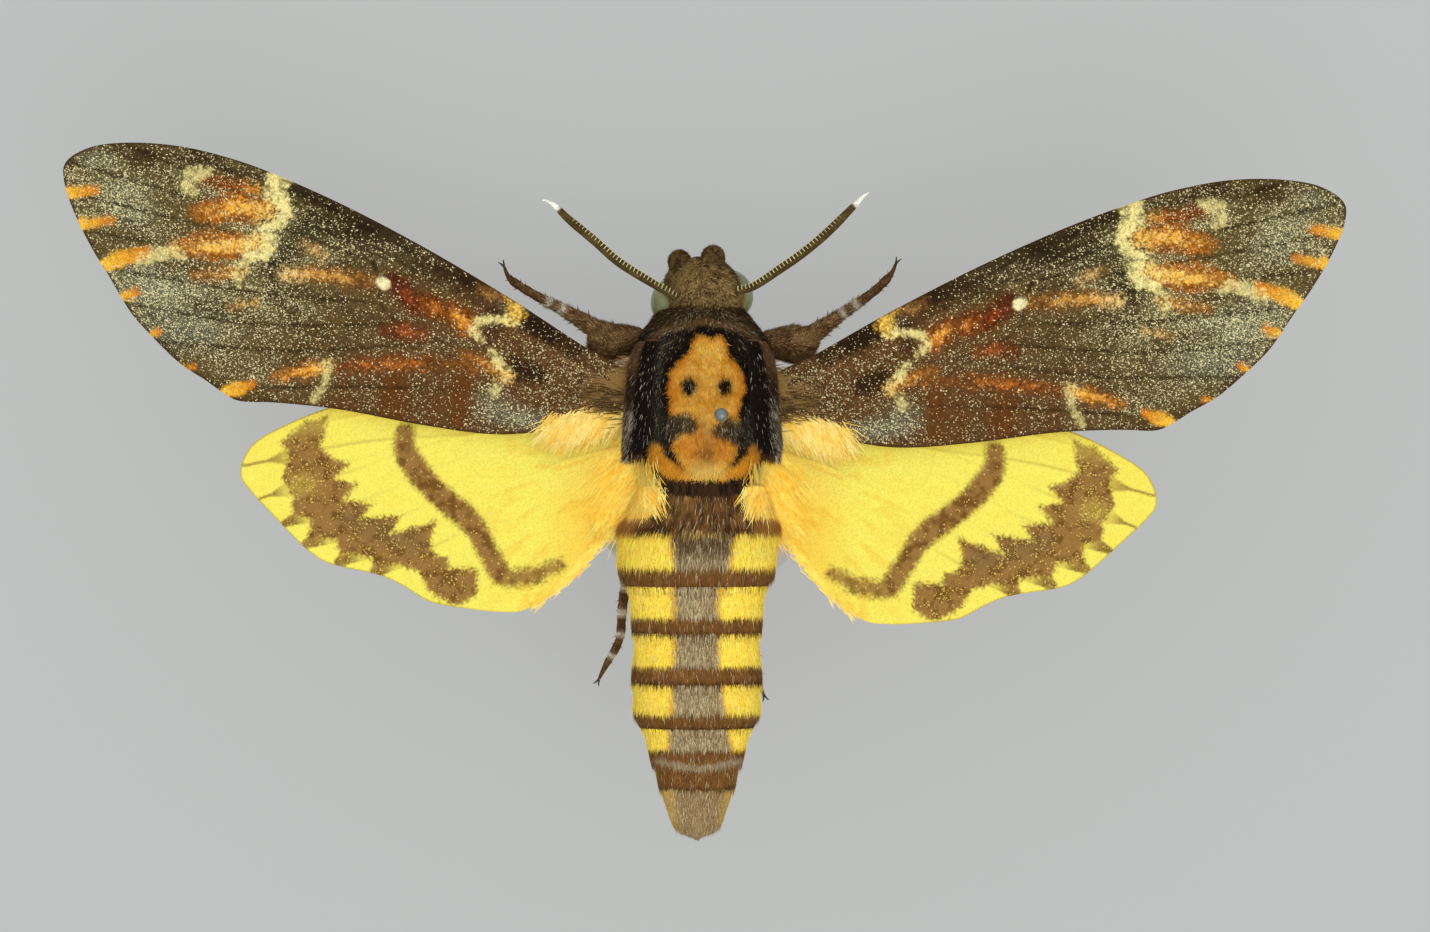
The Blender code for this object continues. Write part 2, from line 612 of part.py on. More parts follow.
def add_stand(finishes):
    rim = [
        (0.0, BASE_RADIUS - BASE_BEVEL), (BASE_BEVEL, BASE_RADIUS),
        (BASE_HEIGHT - BASE_BEVEL, BASE_RADIUS), (BASE_HEIGHT, BASE_RADIUS - BASE_BEVEL),
    ]
    sides = BASE_SIDES
    points = []
    for height, radius in rim:
        for i in range(sides):
            turn = 2 * math.pi * i / sides
            points.append((radius * math.cos(turn), radius * math.sin(turn), height))
    faces = []
    for i in range(len(rim) - 1):
        for j in range(sides):
            a, b = i * sides + j, i * sides + (j + 1) % sides
            faces.append((a, b, b + sides, a + sides))
    faces.append(tuple(reversed(range(sides))))
    faces.append(tuple(range(len(points) - sides, len(points))))
    base = make_node("stand_base", points, faces, finishes["base"])
    floor_of_socket = BASE_HEIGHT - PIN_SOCKET_DEPTH
    cut_away(base, cylinder(PIN_X, PIN_Y, floor_of_socket, PIN_TOP, PIN_RADIUS + GAP))
    neck = PIN_TOP - 2 * PIN_HEAD_RADIUS
    heights = [floor_of_socket + GAP, neck]
    radii = [PIN_RADIUS, PIN_RADIUS]
    for i in range(1, 8):
        turn = math.pi * i / 8
        heights.append(neck + PIN_HEAD_RADIUS * (1 - math.cos(turn)))
        radii.append(max(PIN_RADIUS, PIN_HEAD_RADIUS * math.sin(turn)))
    points, faces = [], []
    for height, radius in zip(heights, radii):
        for i in range(PIN_SIDES):
            turn = 2 * math.pi * i / PIN_SIDES
            points.append((PIN_X + radius * math.cos(turn), PIN_Y + radius * math.sin(turn), height))
    for i in range(len(heights) - 1):
        for j in range(PIN_SIDES):
            a, b = i * PIN_SIDES + j, i * PIN_SIDES + (j + 1) % PIN_SIDES
            faces.append((a, b, b + PIN_SIDES, a + PIN_SIDES))
    faces.append(tuple(reversed(range(PIN_SIDES))))
    faces.append(tuple(range(len(points) - PIN_SIDES, len(points))))
    make_node("stand_pin", points, faces, finishes["steel"])


def main():
    clear_scene()
    finishes = {
        "head": material("head_scales", (0.11, 0.08, 0.03), 0.8),
        "eye": material("eye_glass", (0.22, 0.26, 0.17), 0.25),
        "antenna": material("antenna_horn", (0.12, 0.11, 0.03), 0.6),
        "thorax": material("thorax_scales", (0.03, 0.02, 0.012), 0.85),
        "abdomen": material("abdomen_scales", (0.75, 0.48, 0.06), 0.8),
        "forewing": material("forewing_scales", (0.045, 0.035, 0.02), 0.75),
        "hindwing": material("hindwing_scales", (0.85, 0.58, 0.07), 0.75),
        "leg": material("leg_scales", (0.08, 0.05, 0.025), 0.75),
        "base": material("base_wood", (0.55, 0.51, 0.46), 0.5),
        "steel": material("pin_steel", (0.35, 0.38, 0.4), 0.3, 1.0),
    }
    add_body(finishes)
    body_cutters = (
        loft(finer(THORAX, 13), GAP),
        loft(finer(COLLAR, 5), GAP),
        loft(abdomen_rows(), GAP),
    )
    add_wings(finishes, body_cutters)
    add_legs(finishes, body_cutters)
    add_stand(finishes)


main()
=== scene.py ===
# %% [markdown]
# # A pinned death's-head hawkmoth
# A large moth, wings spread on an insect pin, built as a model a museum could show. The solids under it
# give every size. Here each solid gets the surface that the real animal has: scales, hair, horn and glassy
# eyes. All lengths in this file are in millimetres, because a moth is measured in them, and `MM` turns them
# to metres.

# %% Load the solids that fix every place and size
import math
from functools import partial

import bpy
import numpy as np
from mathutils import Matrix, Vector
from mathutils.geometry import delaunay_2d_cdt


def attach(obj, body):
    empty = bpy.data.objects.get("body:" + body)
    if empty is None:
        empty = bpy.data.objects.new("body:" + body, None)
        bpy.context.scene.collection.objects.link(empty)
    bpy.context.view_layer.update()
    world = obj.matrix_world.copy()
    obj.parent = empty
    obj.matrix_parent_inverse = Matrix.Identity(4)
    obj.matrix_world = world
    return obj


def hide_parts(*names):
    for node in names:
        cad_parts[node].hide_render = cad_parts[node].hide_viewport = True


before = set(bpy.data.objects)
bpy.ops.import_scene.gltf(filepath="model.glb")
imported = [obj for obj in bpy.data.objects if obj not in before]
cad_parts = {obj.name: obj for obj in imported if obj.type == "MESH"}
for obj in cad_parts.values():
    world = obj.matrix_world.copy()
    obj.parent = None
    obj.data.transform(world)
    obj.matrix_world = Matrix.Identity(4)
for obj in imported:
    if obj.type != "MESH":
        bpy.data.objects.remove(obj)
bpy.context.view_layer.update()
MM = 0.001
print("solids:", ", ".join(sorted(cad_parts)))

# %% [markdown]
# ## Camera, light and table
# A collection photograph is taken straight down with a long lens, so that the wings aren't stretched. The
# light comes softly from everywhere. Wide suns and a pale sky give that with little shadow, and cost little
# to render.


# %% Camera
def new_object(name, data):
    made = bpy.data.objects.new(name, data)
    bpy.context.scene.collection.objects.link(made)
    return made


LENS, SENSOR = 150.0, 36.0
VIEW_WIDTH = 134.1  # what the frame spans at the height of the wings
VIEW_CENTRE = (1.22, 1.13)
WING_LEVEL = 25.0
camera = new_object("camera", bpy.data.cameras.new("camera"))
camera.data.lens = LENS
camera.data.sensor_width = SENSOR
camera.data.clip_end = 10.0
camera_height = WING_LEVEL + VIEW_WIDTH * LENS / SENSOR
camera.location = (VIEW_CENTRE[0] * MM, VIEW_CENTRE[1] * MM, camera_height * MM)
bpy.context.scene.camera = camera
print("camera", round(camera_height), "mm above the table")


# %% Nodes and finishes
def srgb(red, green, blue):
    """A screen colour, 0 to 255, as the linear colour that shaders use."""
    screen = np.array((red, green, blue), float) / 255
    return np.where(screen <= 0.04045, screen / 12.92, ((screen + 0.055) / 1.055) ** 2.4)


def set_inputs(tree, node, inputs):
    """Links each input that is given another node's output, and writes all other values."""
    for key, value in inputs.items():
        if isinstance(value, bpy.types.NodeSocket):
            tree.links.new(value, node.inputs[key])
        else:
            node.inputs[key].default_value = value


def add_node(tree, kind, inputs=(), **settings):
    """A new node with its settings, and inputs that are values or other nodes' outputs."""
    node = tree.nodes.new(kind)
    for key, value in settings.items():
        setattr(node, key, value)
    set_inputs(tree, node, dict(inputs))
    return node


def opaque(colour):
    """A screen colour as a colour socket takes it."""
    return (*srgb(*colour), 1.0)


def finish_with(made, values):
    set_inputs(made.node_tree, made.node_tree.nodes["Principled BSDF"], values)


def new_finish(name, roughness, **settings):
    """A material. Settings are sockets of its shader, their words joined by underscores."""
    made = bpy.data.materials.new(name)
    made.use_nodes = True
    sockets = {key.replace("_", " "): value for key, value in settings.items()}
    finish_with(made, {"Roughness": roughness, **sockets})
    return made


def own_value(tree, name):
    """What a piece's points carry under a name, as outputs."""
    return add_node(tree, "ShaderNodeAttribute", attribute_name=name).outputs


def object_place(tree):
    return add_node(tree, "ShaderNodeTexCoord").outputs["Object"]


def two_tones(tree, source, places, dark, light):
    """A ramp from one screen colour to another."""
    ramp = add_node(tree, "ShaderNodeValToRGB", {"Fac": source})
    for stop, place, colour in zip(ramp.color_ramp.elements, places, (dark, light)):
        stop.position = place
        stop.color = opaque(colour)
    return ramp.outputs["Color"]


def toned(tree, colour, factor):
    """A colour made lighter or darker by a factor."""
    return add_node(tree, "ShaderNodeVectorMath", {0: colour, "Scale": factor}, operation="SCALE").outputs[0]


def relief_of(tree, height, strength, distance):
    bump = add_node(tree, "ShaderNodeBump", {"Strength": strength, "Distance": distance, "Height": height})
    return bump.outputs["Normal"]


print("screen grey 128 is", srgb(128, 128, 128)[0].round(2), "of full light")

# %% Light and table
TABLE_HALF = 0.6  # metres
SKY_STRENGTH = 0.78
TABLE_GLOW = 0.62  # keeps the table as even as the photograph's lit background
for name, strength, spread, tilt, turn in (("key_light", 0.8, 50, 30, 25), ("fill_light", 0.3, 90, 38, 205)):
    lamp = new_object(name, bpy.data.lights.new(name, "SUN"))
    lamp.data.energy = strength
    lamp.data.angle = math.radians(spread)
    lamp.rotation_euler = (math.radians(tilt), 0.0, math.radians(turn))

sky = bpy.data.worlds.new("soft_sky")
sky.use_nodes = True
background = sky.node_tree.nodes["Background"]
set_inputs(sky.node_tree, background, {"Color": (1.0, 1.0, 1.0, 1.0), "Strength": SKY_STRENGTH})
bpy.context.scene.world = sky
bpy.context.scene.view_settings.view_transform = "Standard"  # colours as the photograph gives them

table_mesh = bpy.data.meshes.new("table")
corners = [(x * TABLE_HALF, y * TABLE_HALF, 0) for x, y in ((-1, -1), (1, -1), (1, 1), (-1, 1))]
table_mesh.from_pydata(corners, [], [(0, 1, 2, 3)])
table_mesh.materials.append(new_finish(
    "table_grey", 0.9, Base_Color=opaque((122, 124, 123)), Specular_IOR_Level=0.0,
    Emission_Color=opaque((191, 193, 192)), Emission_Strength=TABLE_GLOW,
))
new_object("table", table_mesh)
print("two suns, a pale sky and a table", 2 * TABLE_HALF, "m wide")

# %% [markdown]
# ## Curves, masks and clouds
# The whole animal is drawn with a few small tools. A smooth curve runs through a handful of measured
# points. A mask says how much of a colour a place gets: near a line, inside an outline, or in a soft patch.
# Clouds of noise break up the edges, because scales never end in a clean line.


# %% Curves
def smooth_curve(points, count, closed=False):
    """Points along a smooth curve that runs through all the given ones, evenly spaced by length."""
    p = np.array(points, float)
    n = len(p)
    fine = []
    for i in range(n if closed else n - 1):
        a = p[(i - 1) % n] if closed or i > 0 else 2 * p[0] - p[1]
        b, c = p[i], p[(i + 1) % n]
        d = p[(i + 2) % n] if closed or i + 2 < n else 2 * p[-1] - p[-2]
        for t in np.linspace(0, 1, 16, endpoint=False):
            square, cube = (2 * a - 5 * b + 4 * c - d) * t**2, (3 * b - a - 3 * c + d) * t**3
            fine.append(0.5 * (2 * b + (c - a) * t + square + cube))
    fine.append(p[0] if closed else p[-1])
    fine = np.array(fine)
    length = np.r_[0, np.cumsum(np.linalg.norm(np.diff(fine, axis=0), axis=1))]
    wanted = np.linspace(0, length[-1], count + 1 if closed else count)
    if closed:
        wanted = wanted[:-1]
    return np.column_stack([np.interp(wanted, length, fine[:, axis]) for axis in range(p.shape[1])])


def ease(value, low, high):
    """0 below low, 1 above high, smooth between."""
    t = np.clip((value - low) / (high - low), 0, 1)
    return t * t * (3 - 2 * t)


def unit(vectors):
    return vectors / np.linalg.norm(vectors, axis=-1)[..., None]


def along_line(u, v, line):
    """How far each place is from a line, and how far along the line its nearest point is, from 0 to 1."""
    line = np.array(line, float)
    steps = np.linalg.norm(np.diff(line, axis=0), axis=1)
    start = np.r_[0, np.cumsum(steps)]
    best = np.full(u.shape, 1e9)
    share = np.zeros(u.shape)
    for i, (a, b) in enumerate(zip(line[:-1], line[1:])):
        run = b - a
        t = np.clip(((u - a[0]) * run[0] + (v - a[1]) * run[1]) / max(run @ run, 1e-9), 0, 1)
        gap = np.hypot(a[0] + run[0] * t - u, a[1] + run[1] * t - v)
        nearer = gap < best
        best = np.where(nearer, gap, best)
        share = np.where(nearer, (start[i] + steps[i] * t) / start[-1], share)
    return best, share


def within(u, v, loop):
    """Whether each place lies inside a loop, whose last point is its first."""
    crossings = np.zeros(u.shape, int)
    for a, b in zip(loop[:-1], loop[1:]):
        spans = (a[1] > v) != (b[1] > v)
        at = a[0] + (v - a[1]) * (b[0] - a[0]) / (b[1] - a[1] if b[1] != a[1] else 1e-9)
        crossings += (spans & (u < at)).astype(int)
    return crossings % 2 == 1


print("a bend through 3 points, as 5:", smooth_curve([(0, 0), (1, 1), (2, 0)], 5).round(2).tolist())

# %% Masks and paint
def stroke(u, v, line, half_width, blur=0.4, fray=0.0, noise=0.5):
    """A brush stroke along a line. half_width is one number or a list of them along the line."""
    gap, share = along_line(u, v, line)
    widths = np.atleast_1d(half_width).astype(float)
    half = np.interp(share, np.linspace(0, 1, len(widths)), widths) + fray * (noise - 0.5)
    return 1 - ease(gap, half - blur / 2, half + blur / 2)


def patch(u, v, centre, radii, blur=0.5, turn=0.0, noise=0.5, fray=0.0):
    """A soft oval."""
    c, s = math.cos(turn), math.sin(turn)
    du, dv = u - centre[0], v - centre[1]
    reach = np.hypot((du * c + dv * s) / radii[0], (-du * s + dv * c) / radii[1])
    return 1 - ease(reach + fray * (noise - 0.5), 1 - blur, 1 + blur)


def inside(u, v, outline, blur, noise, fray):
    """A filled outline with a soft edge."""
    loop = np.array(outline + [outline[0]], float)
    depth = np.where(within(u, v, loop), 1, -1) * along_line(u, v, loop)[0]
    return ease(depth + fray * (noise - 0.5), -blur / 2, blur / 2)


def clouds(x, y, size, seed, octaves=3):
    """Soft random clouds between 0 and 1, the same each run."""
    total, weight = np.zeros(x.shape), 0.0
    for octave in range(octaves):
        lattice = np.random.default_rng(seed * 10 + octave).random((256, 256))
        gx, gy = (along / size * 2**octave + 900.0 for along in (x, y))
        ix, iy = np.floor(gx).astype(int), np.floor(gy).astype(int)
        fx, fy = gx - ix, gy - iy
        fx, fy = fx * fx * (3 - 2 * fx), fy * fy * (3 - 2 * fy)
        a, b = lattice[ix % 256, iy % 256], lattice[(ix + 1) % 256, iy % 256]
        c, d = lattice[ix % 256, (iy + 1) % 256], lattice[(ix + 1) % 256, (iy + 1) % 256]
        total += ((a * (1 - fx) + b * fx) * (1 - fy) + (c * (1 - fx) + d * fx) * fy) * 0.6**octave
        weight += 0.6**octave
    return total / weight


def evenly(colour, count):
    """One screen colour for each of many places."""
    return np.tile(srgb(*colour), (count, 1))


def between(low, high, share):
    """Colours between two screen colours, one for each place."""
    share = share[:, None]
    return srgb(*low) * (1 - share) + srgb(*high) * share


def lay(colour, *layers):
    """Lays paints over the colours by their masks. A paint is a screen colour, or an array of linear ones."""
    for mask, paint in layers:
        mask = np.asarray(mask)[:, None]
        colour = colour * (1 - mask) + (paint if isinstance(paint, np.ndarray) else srgb(*paint)) * mask
    return colour


print("a stroke fades outwards:", stroke(np.arange(5) / 4, np.zeros(5), [(0, 0), (0, 1)], 0.5).round(2))

# %% [markdown]
# ## Meshes and the scale finish
# A scale is a fifth of a millimetre or less, far too small to model one by one over a whole wing. The
# colours are painted on the points of fine meshes, and a shared node group turns them into scales: small
# cells, each a little lighter or darker than the next, some of them a pale fleck, with a slight relief.


# %% Make a mesh from arrays
def join_body(piece, replaces=()):
    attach(piece, "root")
    if replaces:
        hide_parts(*replaces)
    print(piece.name, len(piece.data.polygons), "faces")


def make_piece(
    name, points, triangles, finish, replaces=(), paint=None, flecks=None, bake=None, normals=None
):
    """One piece that rides on the body. Bake is given for each point or corner, all else for each point."""
    mesh = bpy.data.meshes.new(name)
    points = np.asarray(points, np.float32)
    triangles = np.asarray(triangles, np.int32)
    mesh.vertices.add(len(points))
    mesh.vertices.foreach_set("co", (points * MM).ravel())
    mesh.loops.add(triangles.size)
    mesh.loops.foreach_set("vertex_index", triangles.ravel())
    mesh.polygons.add(len(triangles))
    mesh.polygons.foreach_set("loop_start", np.arange(0, triangles.size, 3, dtype=np.int32))
    mesh.update(calc_edges=True)
    mesh.validate()
    mesh.shade_smooth()
    if normals is not None:
        mesh.normals_split_custom_set_from_vertices(normals)
    if paint is not None:
        layer = mesh.color_attributes.new("Paint", "FLOAT_COLOR", "POINT")
        rgba = np.column_stack([np.clip(paint, 0, 1), np.ones(len(points))]).astype(np.float32)
        layer.data.foreach_set("color", rgba.ravel())
    if flecks is not None:
        layer = mesh.attributes.new("Flecks", "FLOAT", "POINT")
        layer.data.foreach_set("value", np.asarray(flecks, np.float32))
    if bake is not None:
        layer = mesh.uv_layers.new(name="OFBake")
        corners = np.asarray(bake, np.float32)
        corners = corners if len(corners) == triangles.size else corners[triangles.ravel()]
        layer.data.foreach_set("uv", corners.ravel())
    mesh.materials.append(finish)
    join_body(new_object(name, mesh), replaces)


# %% The scale group
def new_group(name, kind, given, results):
    """A node group, its inputs and its output node. Given and results are rows of name, kind and value."""
    group = bpy.data.node_groups.new(name, kind)
    for way, rows in (("INPUT", given), ("OUTPUT", results)):
        for label, socket, *value in rows:
            made = group.interface.new_socket(name=label, in_out=way, socket_type="NodeSocket" + socket)
            if value:
                made.default_value = value[0]
    return group, group.nodes.new("NodeGroupInput").outputs, group.nodes.new("NodeGroupOutput")


def add_math(tree, operation, first, second):
    return add_node(tree, "ShaderNodeMath", {0: first, 1: second}, operation=operation).outputs[0]


def scale_group():
    """Splits a colour into scale-sized cells, some of them pale flecks, and gives their relief."""
    group, given, result = new_group("scales", "ShaderNodeTree", (
        ("Colour", "Color"), ("Flecks", "Float", 0.0), ("Fleck Colour", "Color"),
        ("Cell Size", "Float", 0.0002), ("Contrast", "Float", 0.3),
    ), (("Colour", "Color"), ("Height", "Float")))
    density = add_math(group, "DIVIDE", 1.0, given["Cell Size"])
    cells = add_node(group, "ShaderNodeTexVoronoi", {"Vector": object_place(group), "Scale": density}).outputs
    chance = add_node(group, "ShaderNodeSeparateColor", {"Color": cells["Color"]}).outputs
    pale = add_math(group, "LESS_THAN", chance["Red"], given["Flecks"])
    shade = add_node(group, "ShaderNodeMapRange", {
        "Value": chance["Green"],
        "To Min": add_math(group, "SUBTRACT", 1.0, given["Contrast"]),
        "To Max": add_math(group, "ADD", 1.0, given["Contrast"]),
    })
    strength = add_node(group, "ShaderNodeMapRange", {"Value": chance["Blue"], "To Min": 0.25})
    dusted = add_math(group, "MULTIPLY", pale, strength.outputs["Result"])
    dust = {"Factor": dusted, 6: given["Colour"], 7: given["Fleck Colour"]}
    mix = add_node(group, "ShaderNodeMix", dust, data_type="RGBA")
    tone = toned(group, mix.outputs[2], shade.outputs["Result"])
    set_inputs(group, result, {"Colour": tone, "Height": cells["Distance"]})
    return group


SCALES = scale_group()
FLECK_CREAM, FLECK_YELLOW = (232, 220, 166), (235, 205, 100)


def scale_finish(name, roughness, cell, contrast, fleck, relief, flecked=False):
    """A finish that reads a piece's own paint and breaks it into scales, cell wide in millimetres."""
    made = new_finish(name, roughness, Specular_IOR_Level=0.03)
    tree = made.node_tree
    scales = add_node(tree, "ShaderNodeGroup", node_tree=SCALES)
    set_inputs(tree, scales, {
        "Colour": own_value(tree, "Paint")["Color"], "Fleck Colour": opaque(fleck), "Cell Size": cell * MM,
        "Contrast": contrast,
    })
    if flecked:
        set_inputs(tree, scales, {"Flecks": own_value(tree, "Flecks")["Fac"]})
    relief = relief_of(tree, scales.outputs["Height"], relief, cell * MM / 2)
    finish_with(made, {"Base Color": scales.outputs["Colour"], "Normal": relief})
    return made


print("scale group with", len(SCALES.nodes), "nodes")

# %% [markdown]
# ## Wings
# Each wing is one thin membrane with a stiff front edge and raised veins. Both sides have the same outline
# and pattern, so each pattern is painted once, in the wing's own measures: u runs out from the shoulder and
# v runs forwards. The membrane is a flat net of small triangles, cut to the outline and then lifted to its
# height.

# %% Wing shapes, as in the solids
FOREWING = [
    (-3.0, 0.0), (4.0, 1.45), (8.1, 2.35), (12.2, 3.2), (20.5, 4.6), (29.0, 5.6), (36.5, 6.0),
    (41.0, 5.85), (45.3, 5.25), (49.5, 4.0), (52.9, 2.3), (54.7, 0.1), (54.1, -1.9), (52.0, -4.4),
    (49.4, -6.75), (47.3, -8.35), (45.2, -10.05), (43.4, -11.3), (40.2, -12.85), (37.8, -13.8),
    (35.2, -14.35), (33.3, -14.85), (31.5, -15.0), (28.2, -13.9), (22.5, -12.4), (14.8, -11.0),
    (8.2, -9.4), (3.0, -7.0), (-1.0, -5.0), (-3.4, -4.0),
]
HINDWING = [
    (-3.0, 1.6), (4.0, 3.4), (12.0, 4.3), (20.0, 4.2), (26.5, 3.2), (31.6, 1.2), (34.3, -0.5),
    (35.35, -2.8), (34.75, -4.4), (31.6, -7.8), (29.5, -9.95), (27.7, -11.3), (25.6, -11.95),
    (22.3, -12.7), (20.2, -13.65), (17.8, -15.1), (15.5, -15.65), (11.2, -16.15), (8.4, -15.85),
    (5.2, -13.55), (2.5, -10.6), (0.4, -7.2), (-1.6, -4.6), (-3.4, -2.6),
]
FOREWING_VEINS = [
    [(0.0, 0.3), (12.0, 2.4), (24.0, 4.1), (36.0, 5.6)],
    [(0.0, -0.7), (10.0, 0.9), (20.0, 2.2), (30.0, 3.6), (44.0, 5.2)],
    [(23.0, 2.3), (34.0, 2.9), (50.0, 3.6)],
    [(24.5, 1.6), (38.0, 1.4), (54.2, 0.2)],
    [(24.0, 1.0), (38.0, -0.6), (53.8, -2.5)],
    [(23.2, -0.2), (37.0, -2.6), (51.2, -5.4)],
    [(22.6, -1.8), (35.0, -5.3), (48.0, -8.0)],
    [(20.0, -2.9), (33.0, -7.8), (44.9, -10.3)],
    [(15.5, -2.9), (28.0, -8.6), (40.3, -12.5)],
    [(0.0, -1.9), (8.0, -2.0), (15.5, -2.9), (20.0, -2.9), (22.6, -1.8), (23.2, -0.2), (24.5, 1.6)],
    [(0.0, -3.2), (9.0, -5.6), (20.0, -9.2), (33.0, -14.3)],
]
HINDWING_VEINS = [
    [(0.0, 1.6), (10.0, 3.0), (20.0, 2.9), (31.0, 0.9)],
    [(0.0, 0.6), (8.0, 1.2), (14.5, 0.4), (24.0, -0.2), (35.0, -2.4)],
    [(14.5, 0.4), (24.0, -2.6), (33.6, -5.5)],
    [(14.2, -1.6), (22.0, -5.0), (31.4, -7.9)],
    [(13.4, -3.2), (19.8, -7.0), (29.2, -9.8)],
    [(11.8, -3.8), (17.0, -8.0), (26.2, -11.6)],
    [(9.0, -3.6), (13.8, -8.2), (22.8, -12.5)],
    [(0.0, -0.6), (5.0, -2.0), (9.0, -3.6), (13.4, -3.2), (14.5, 0.4)],
    [(0.0, -2.0), (5.6, -7.0), (11.2, -16.0)],
    [(0.0, -3.4), (3.4, -8.0), (6.6, -14.8)],
]
SHOULDERS = {
    "forewing_l": (-8.44, 9.94, math.radians(20.97)),
    "forewing_r": (7.88, 9.38, math.radians(17.34)),
    "hindwing_l": (-7.97, 3.56, 0.0),
    "hindwing_r": (7.61, 3.11, math.radians(-3.88)),
}
FOREWING_Z, HINDWING_Z = 23.95, 22.75
WING_RISE = 1.8
WING_ROOT_X, WING_TIP_X = 8.0, 60.0
WING_TILT = 0.015
MEMBRANE_HALF = 0.1
EDGE_HALF = 0.04
VEIN_HALF_WIDTH = 0.26
VEIN_HEIGHT = 0.1


def wing_place(name, u, v):
    """Where a wing's own measures lie in the model: x, y and the height of the membrane's middle."""
    across, forward, sweep = SHOULDERS[name]
    side = -1 if name.endswith("_l") else 1
    x = across + side * (u * math.cos(sweep) - v * math.sin(sweep))
    y = forward + u * math.sin(sweep) + v * math.cos(sweep)
    share = np.clip((np.abs(x) - WING_ROOT_X) / (WING_TIP_X - WING_ROOT_X), 0, 1)
    root = FOREWING_Z if name.startswith("forewing") else HINDWING_Z
    return x, y, root + WING_RISE * np.sin(share * math.pi / 2) + WING_TILT * y


print(len(FOREWING_VEINS), "veins in a forewing,", len(HINDWING_VEINS), "in a hindwing")

# %% Marks of the forewing
# Each row is a line in the wing's own measures, half widths along it, and colours of rim, heart and far end.
GLOWING_MARKS = (
    ([(42.4, 3.0), (40.7, 3.4), (38.8, 3.7), (37.2, 3.9)], (0.4, 0.7, 0.7, 0.5), (104, 54, 20),
     (152, 86, 32), (226, 160, 58)),
    ([(41.7, 0.0), (40.0, 0.8), (38.1, 1.8), (35.4, 2.7)], (0.7, 1.35, 1.4, 0.9), (148, 84, 24),
     (236, 172, 66), (242, 200, 98)),
    ([(42.4, -3.9), (40.3, -2.8), (38.0, -2.0), (35.2, -0.6)], (0.6, 1.4, 1.4, 0.9), (152, 88, 26),
     (242, 186, 80), (246, 216, 122)),
    ([(39.7, -5.6), (37.6, -4.7), (35.9, -3.6)], (0.6, 0.85, 0.6), (118, 78, 32), (192, 134, 58),
     (216, 176, 96)),
    ([(23.9, -0.1), (26.0, -0.6), (29.0, -1.3), (31.8, -2.3)], (0.8, 0.9, 0.85, 0.6), (112, 72, 30),
     (196, 144, 66), (224, 190, 118)),
    ([(22.0, 0.4), (20.6, -0.1), (19.4, -0.8)], (1.0, 1.1, 1.0), (84, 40, 18), (134, 60, 24),
     (110, 56, 24)),
    ([(18.9, -0.2), (17.6, -0.4), (16.9, -0.4)], (0.9, 1.1, 0.9), (104, 52, 18), (186, 108, 40),
     (150, 84, 30)),
    ([(16.1, 0.0), (15.0, -0.4), (14.2, -0.8)], (0.9, 1.2, 0.9), (120, 62, 20), (222, 150, 54),
     (180, 104, 34)),
    ([(21.1, -4.0), (19.7, -3.4), (17.8, -3.1)], (0.6, 0.9, 0.6), (88, 48, 22), (152, 80, 34),
     (116, 62, 28)),
    ([(29.4, -11.7), (26.8, -10.2), (25.0, -9.1)], (0.35, 0.75, 0.6), (146, 86, 28), (240, 168, 64),
     (248, 214, 130)),
    ([(24.4, -8.9), (22.2, -7.9), (18.3, -6.1), (16.3, -5.3)], (0.5, 0.75, 0.7, 0.6), (104, 58, 24),
     (168, 98, 38), (150, 88, 32)),
    ([(16.3, -5.3), (14.4, -4.8), (12.2, -4.4)], (0.45, 0.4, 0.4), (96, 56, 24), (132, 82, 34),
     (150, 94, 38)),
    ([(13.3, -3.5), (11.9, -3.4), (10.4, -3.6), (9.2, -4.0)], (0.65, 0.7, 0.5, 0.5), (124, 74, 28),
     (206, 144, 64), (226, 170, 78)),
    ([(14.2, 2.9), (13.1, 2.7), (12.1, 2.8)], (0.8, 0.95, 0.8), (96, 66, 30), (158, 116, 62),
     (130, 92, 46)),
    ([(11.0, 3.3), (10.4, 2.2), (10.7, 1.2)], (0.85, 0.85, 0.6), (196, 150, 54), (238, 196, 84),
     (246, 226, 138)),
    ([(31.2, 0.9), (30.2, 0.6), (29.0, 0.4)], (0.5, 0.75, 0.5), (112, 82, 40), (196, 158, 92),
     (206, 176, 112)),
    ([(35.4, -7.0), (34.3, -6.3), (33.4, -5.8)], (0.35, 0.5, 0.35), (116, 84, 36), (196, 152, 78),
     (210, 172, 96)),
)
MARGIN_MARKS = (
    ([(54.0, -2.9), (51.2, -1.4)], (0.6, 0.4)), ([(51.8, -5.2), (48.9, -3.5)], (0.55, 0.4)),
    ([(48.3, -8.0), (46.6, -6.5), (44.7, -5.2)], (0.5, 0.8, 0.6)),
    ([(45.6, -10.1), (44.2, -9.0)], (0.45, 0.4)), ([(41.9, -12.5), (40.9, -11.7)], (0.4, 0.3)),
    ([(37.9, -14.3), (36.8, -13.6)], (0.35, 0.3)),
    ([(33.3, -14.9), (32.0, -13.9), (31.0, -13.1)], (0.45, 0.7, 0.4)),
)
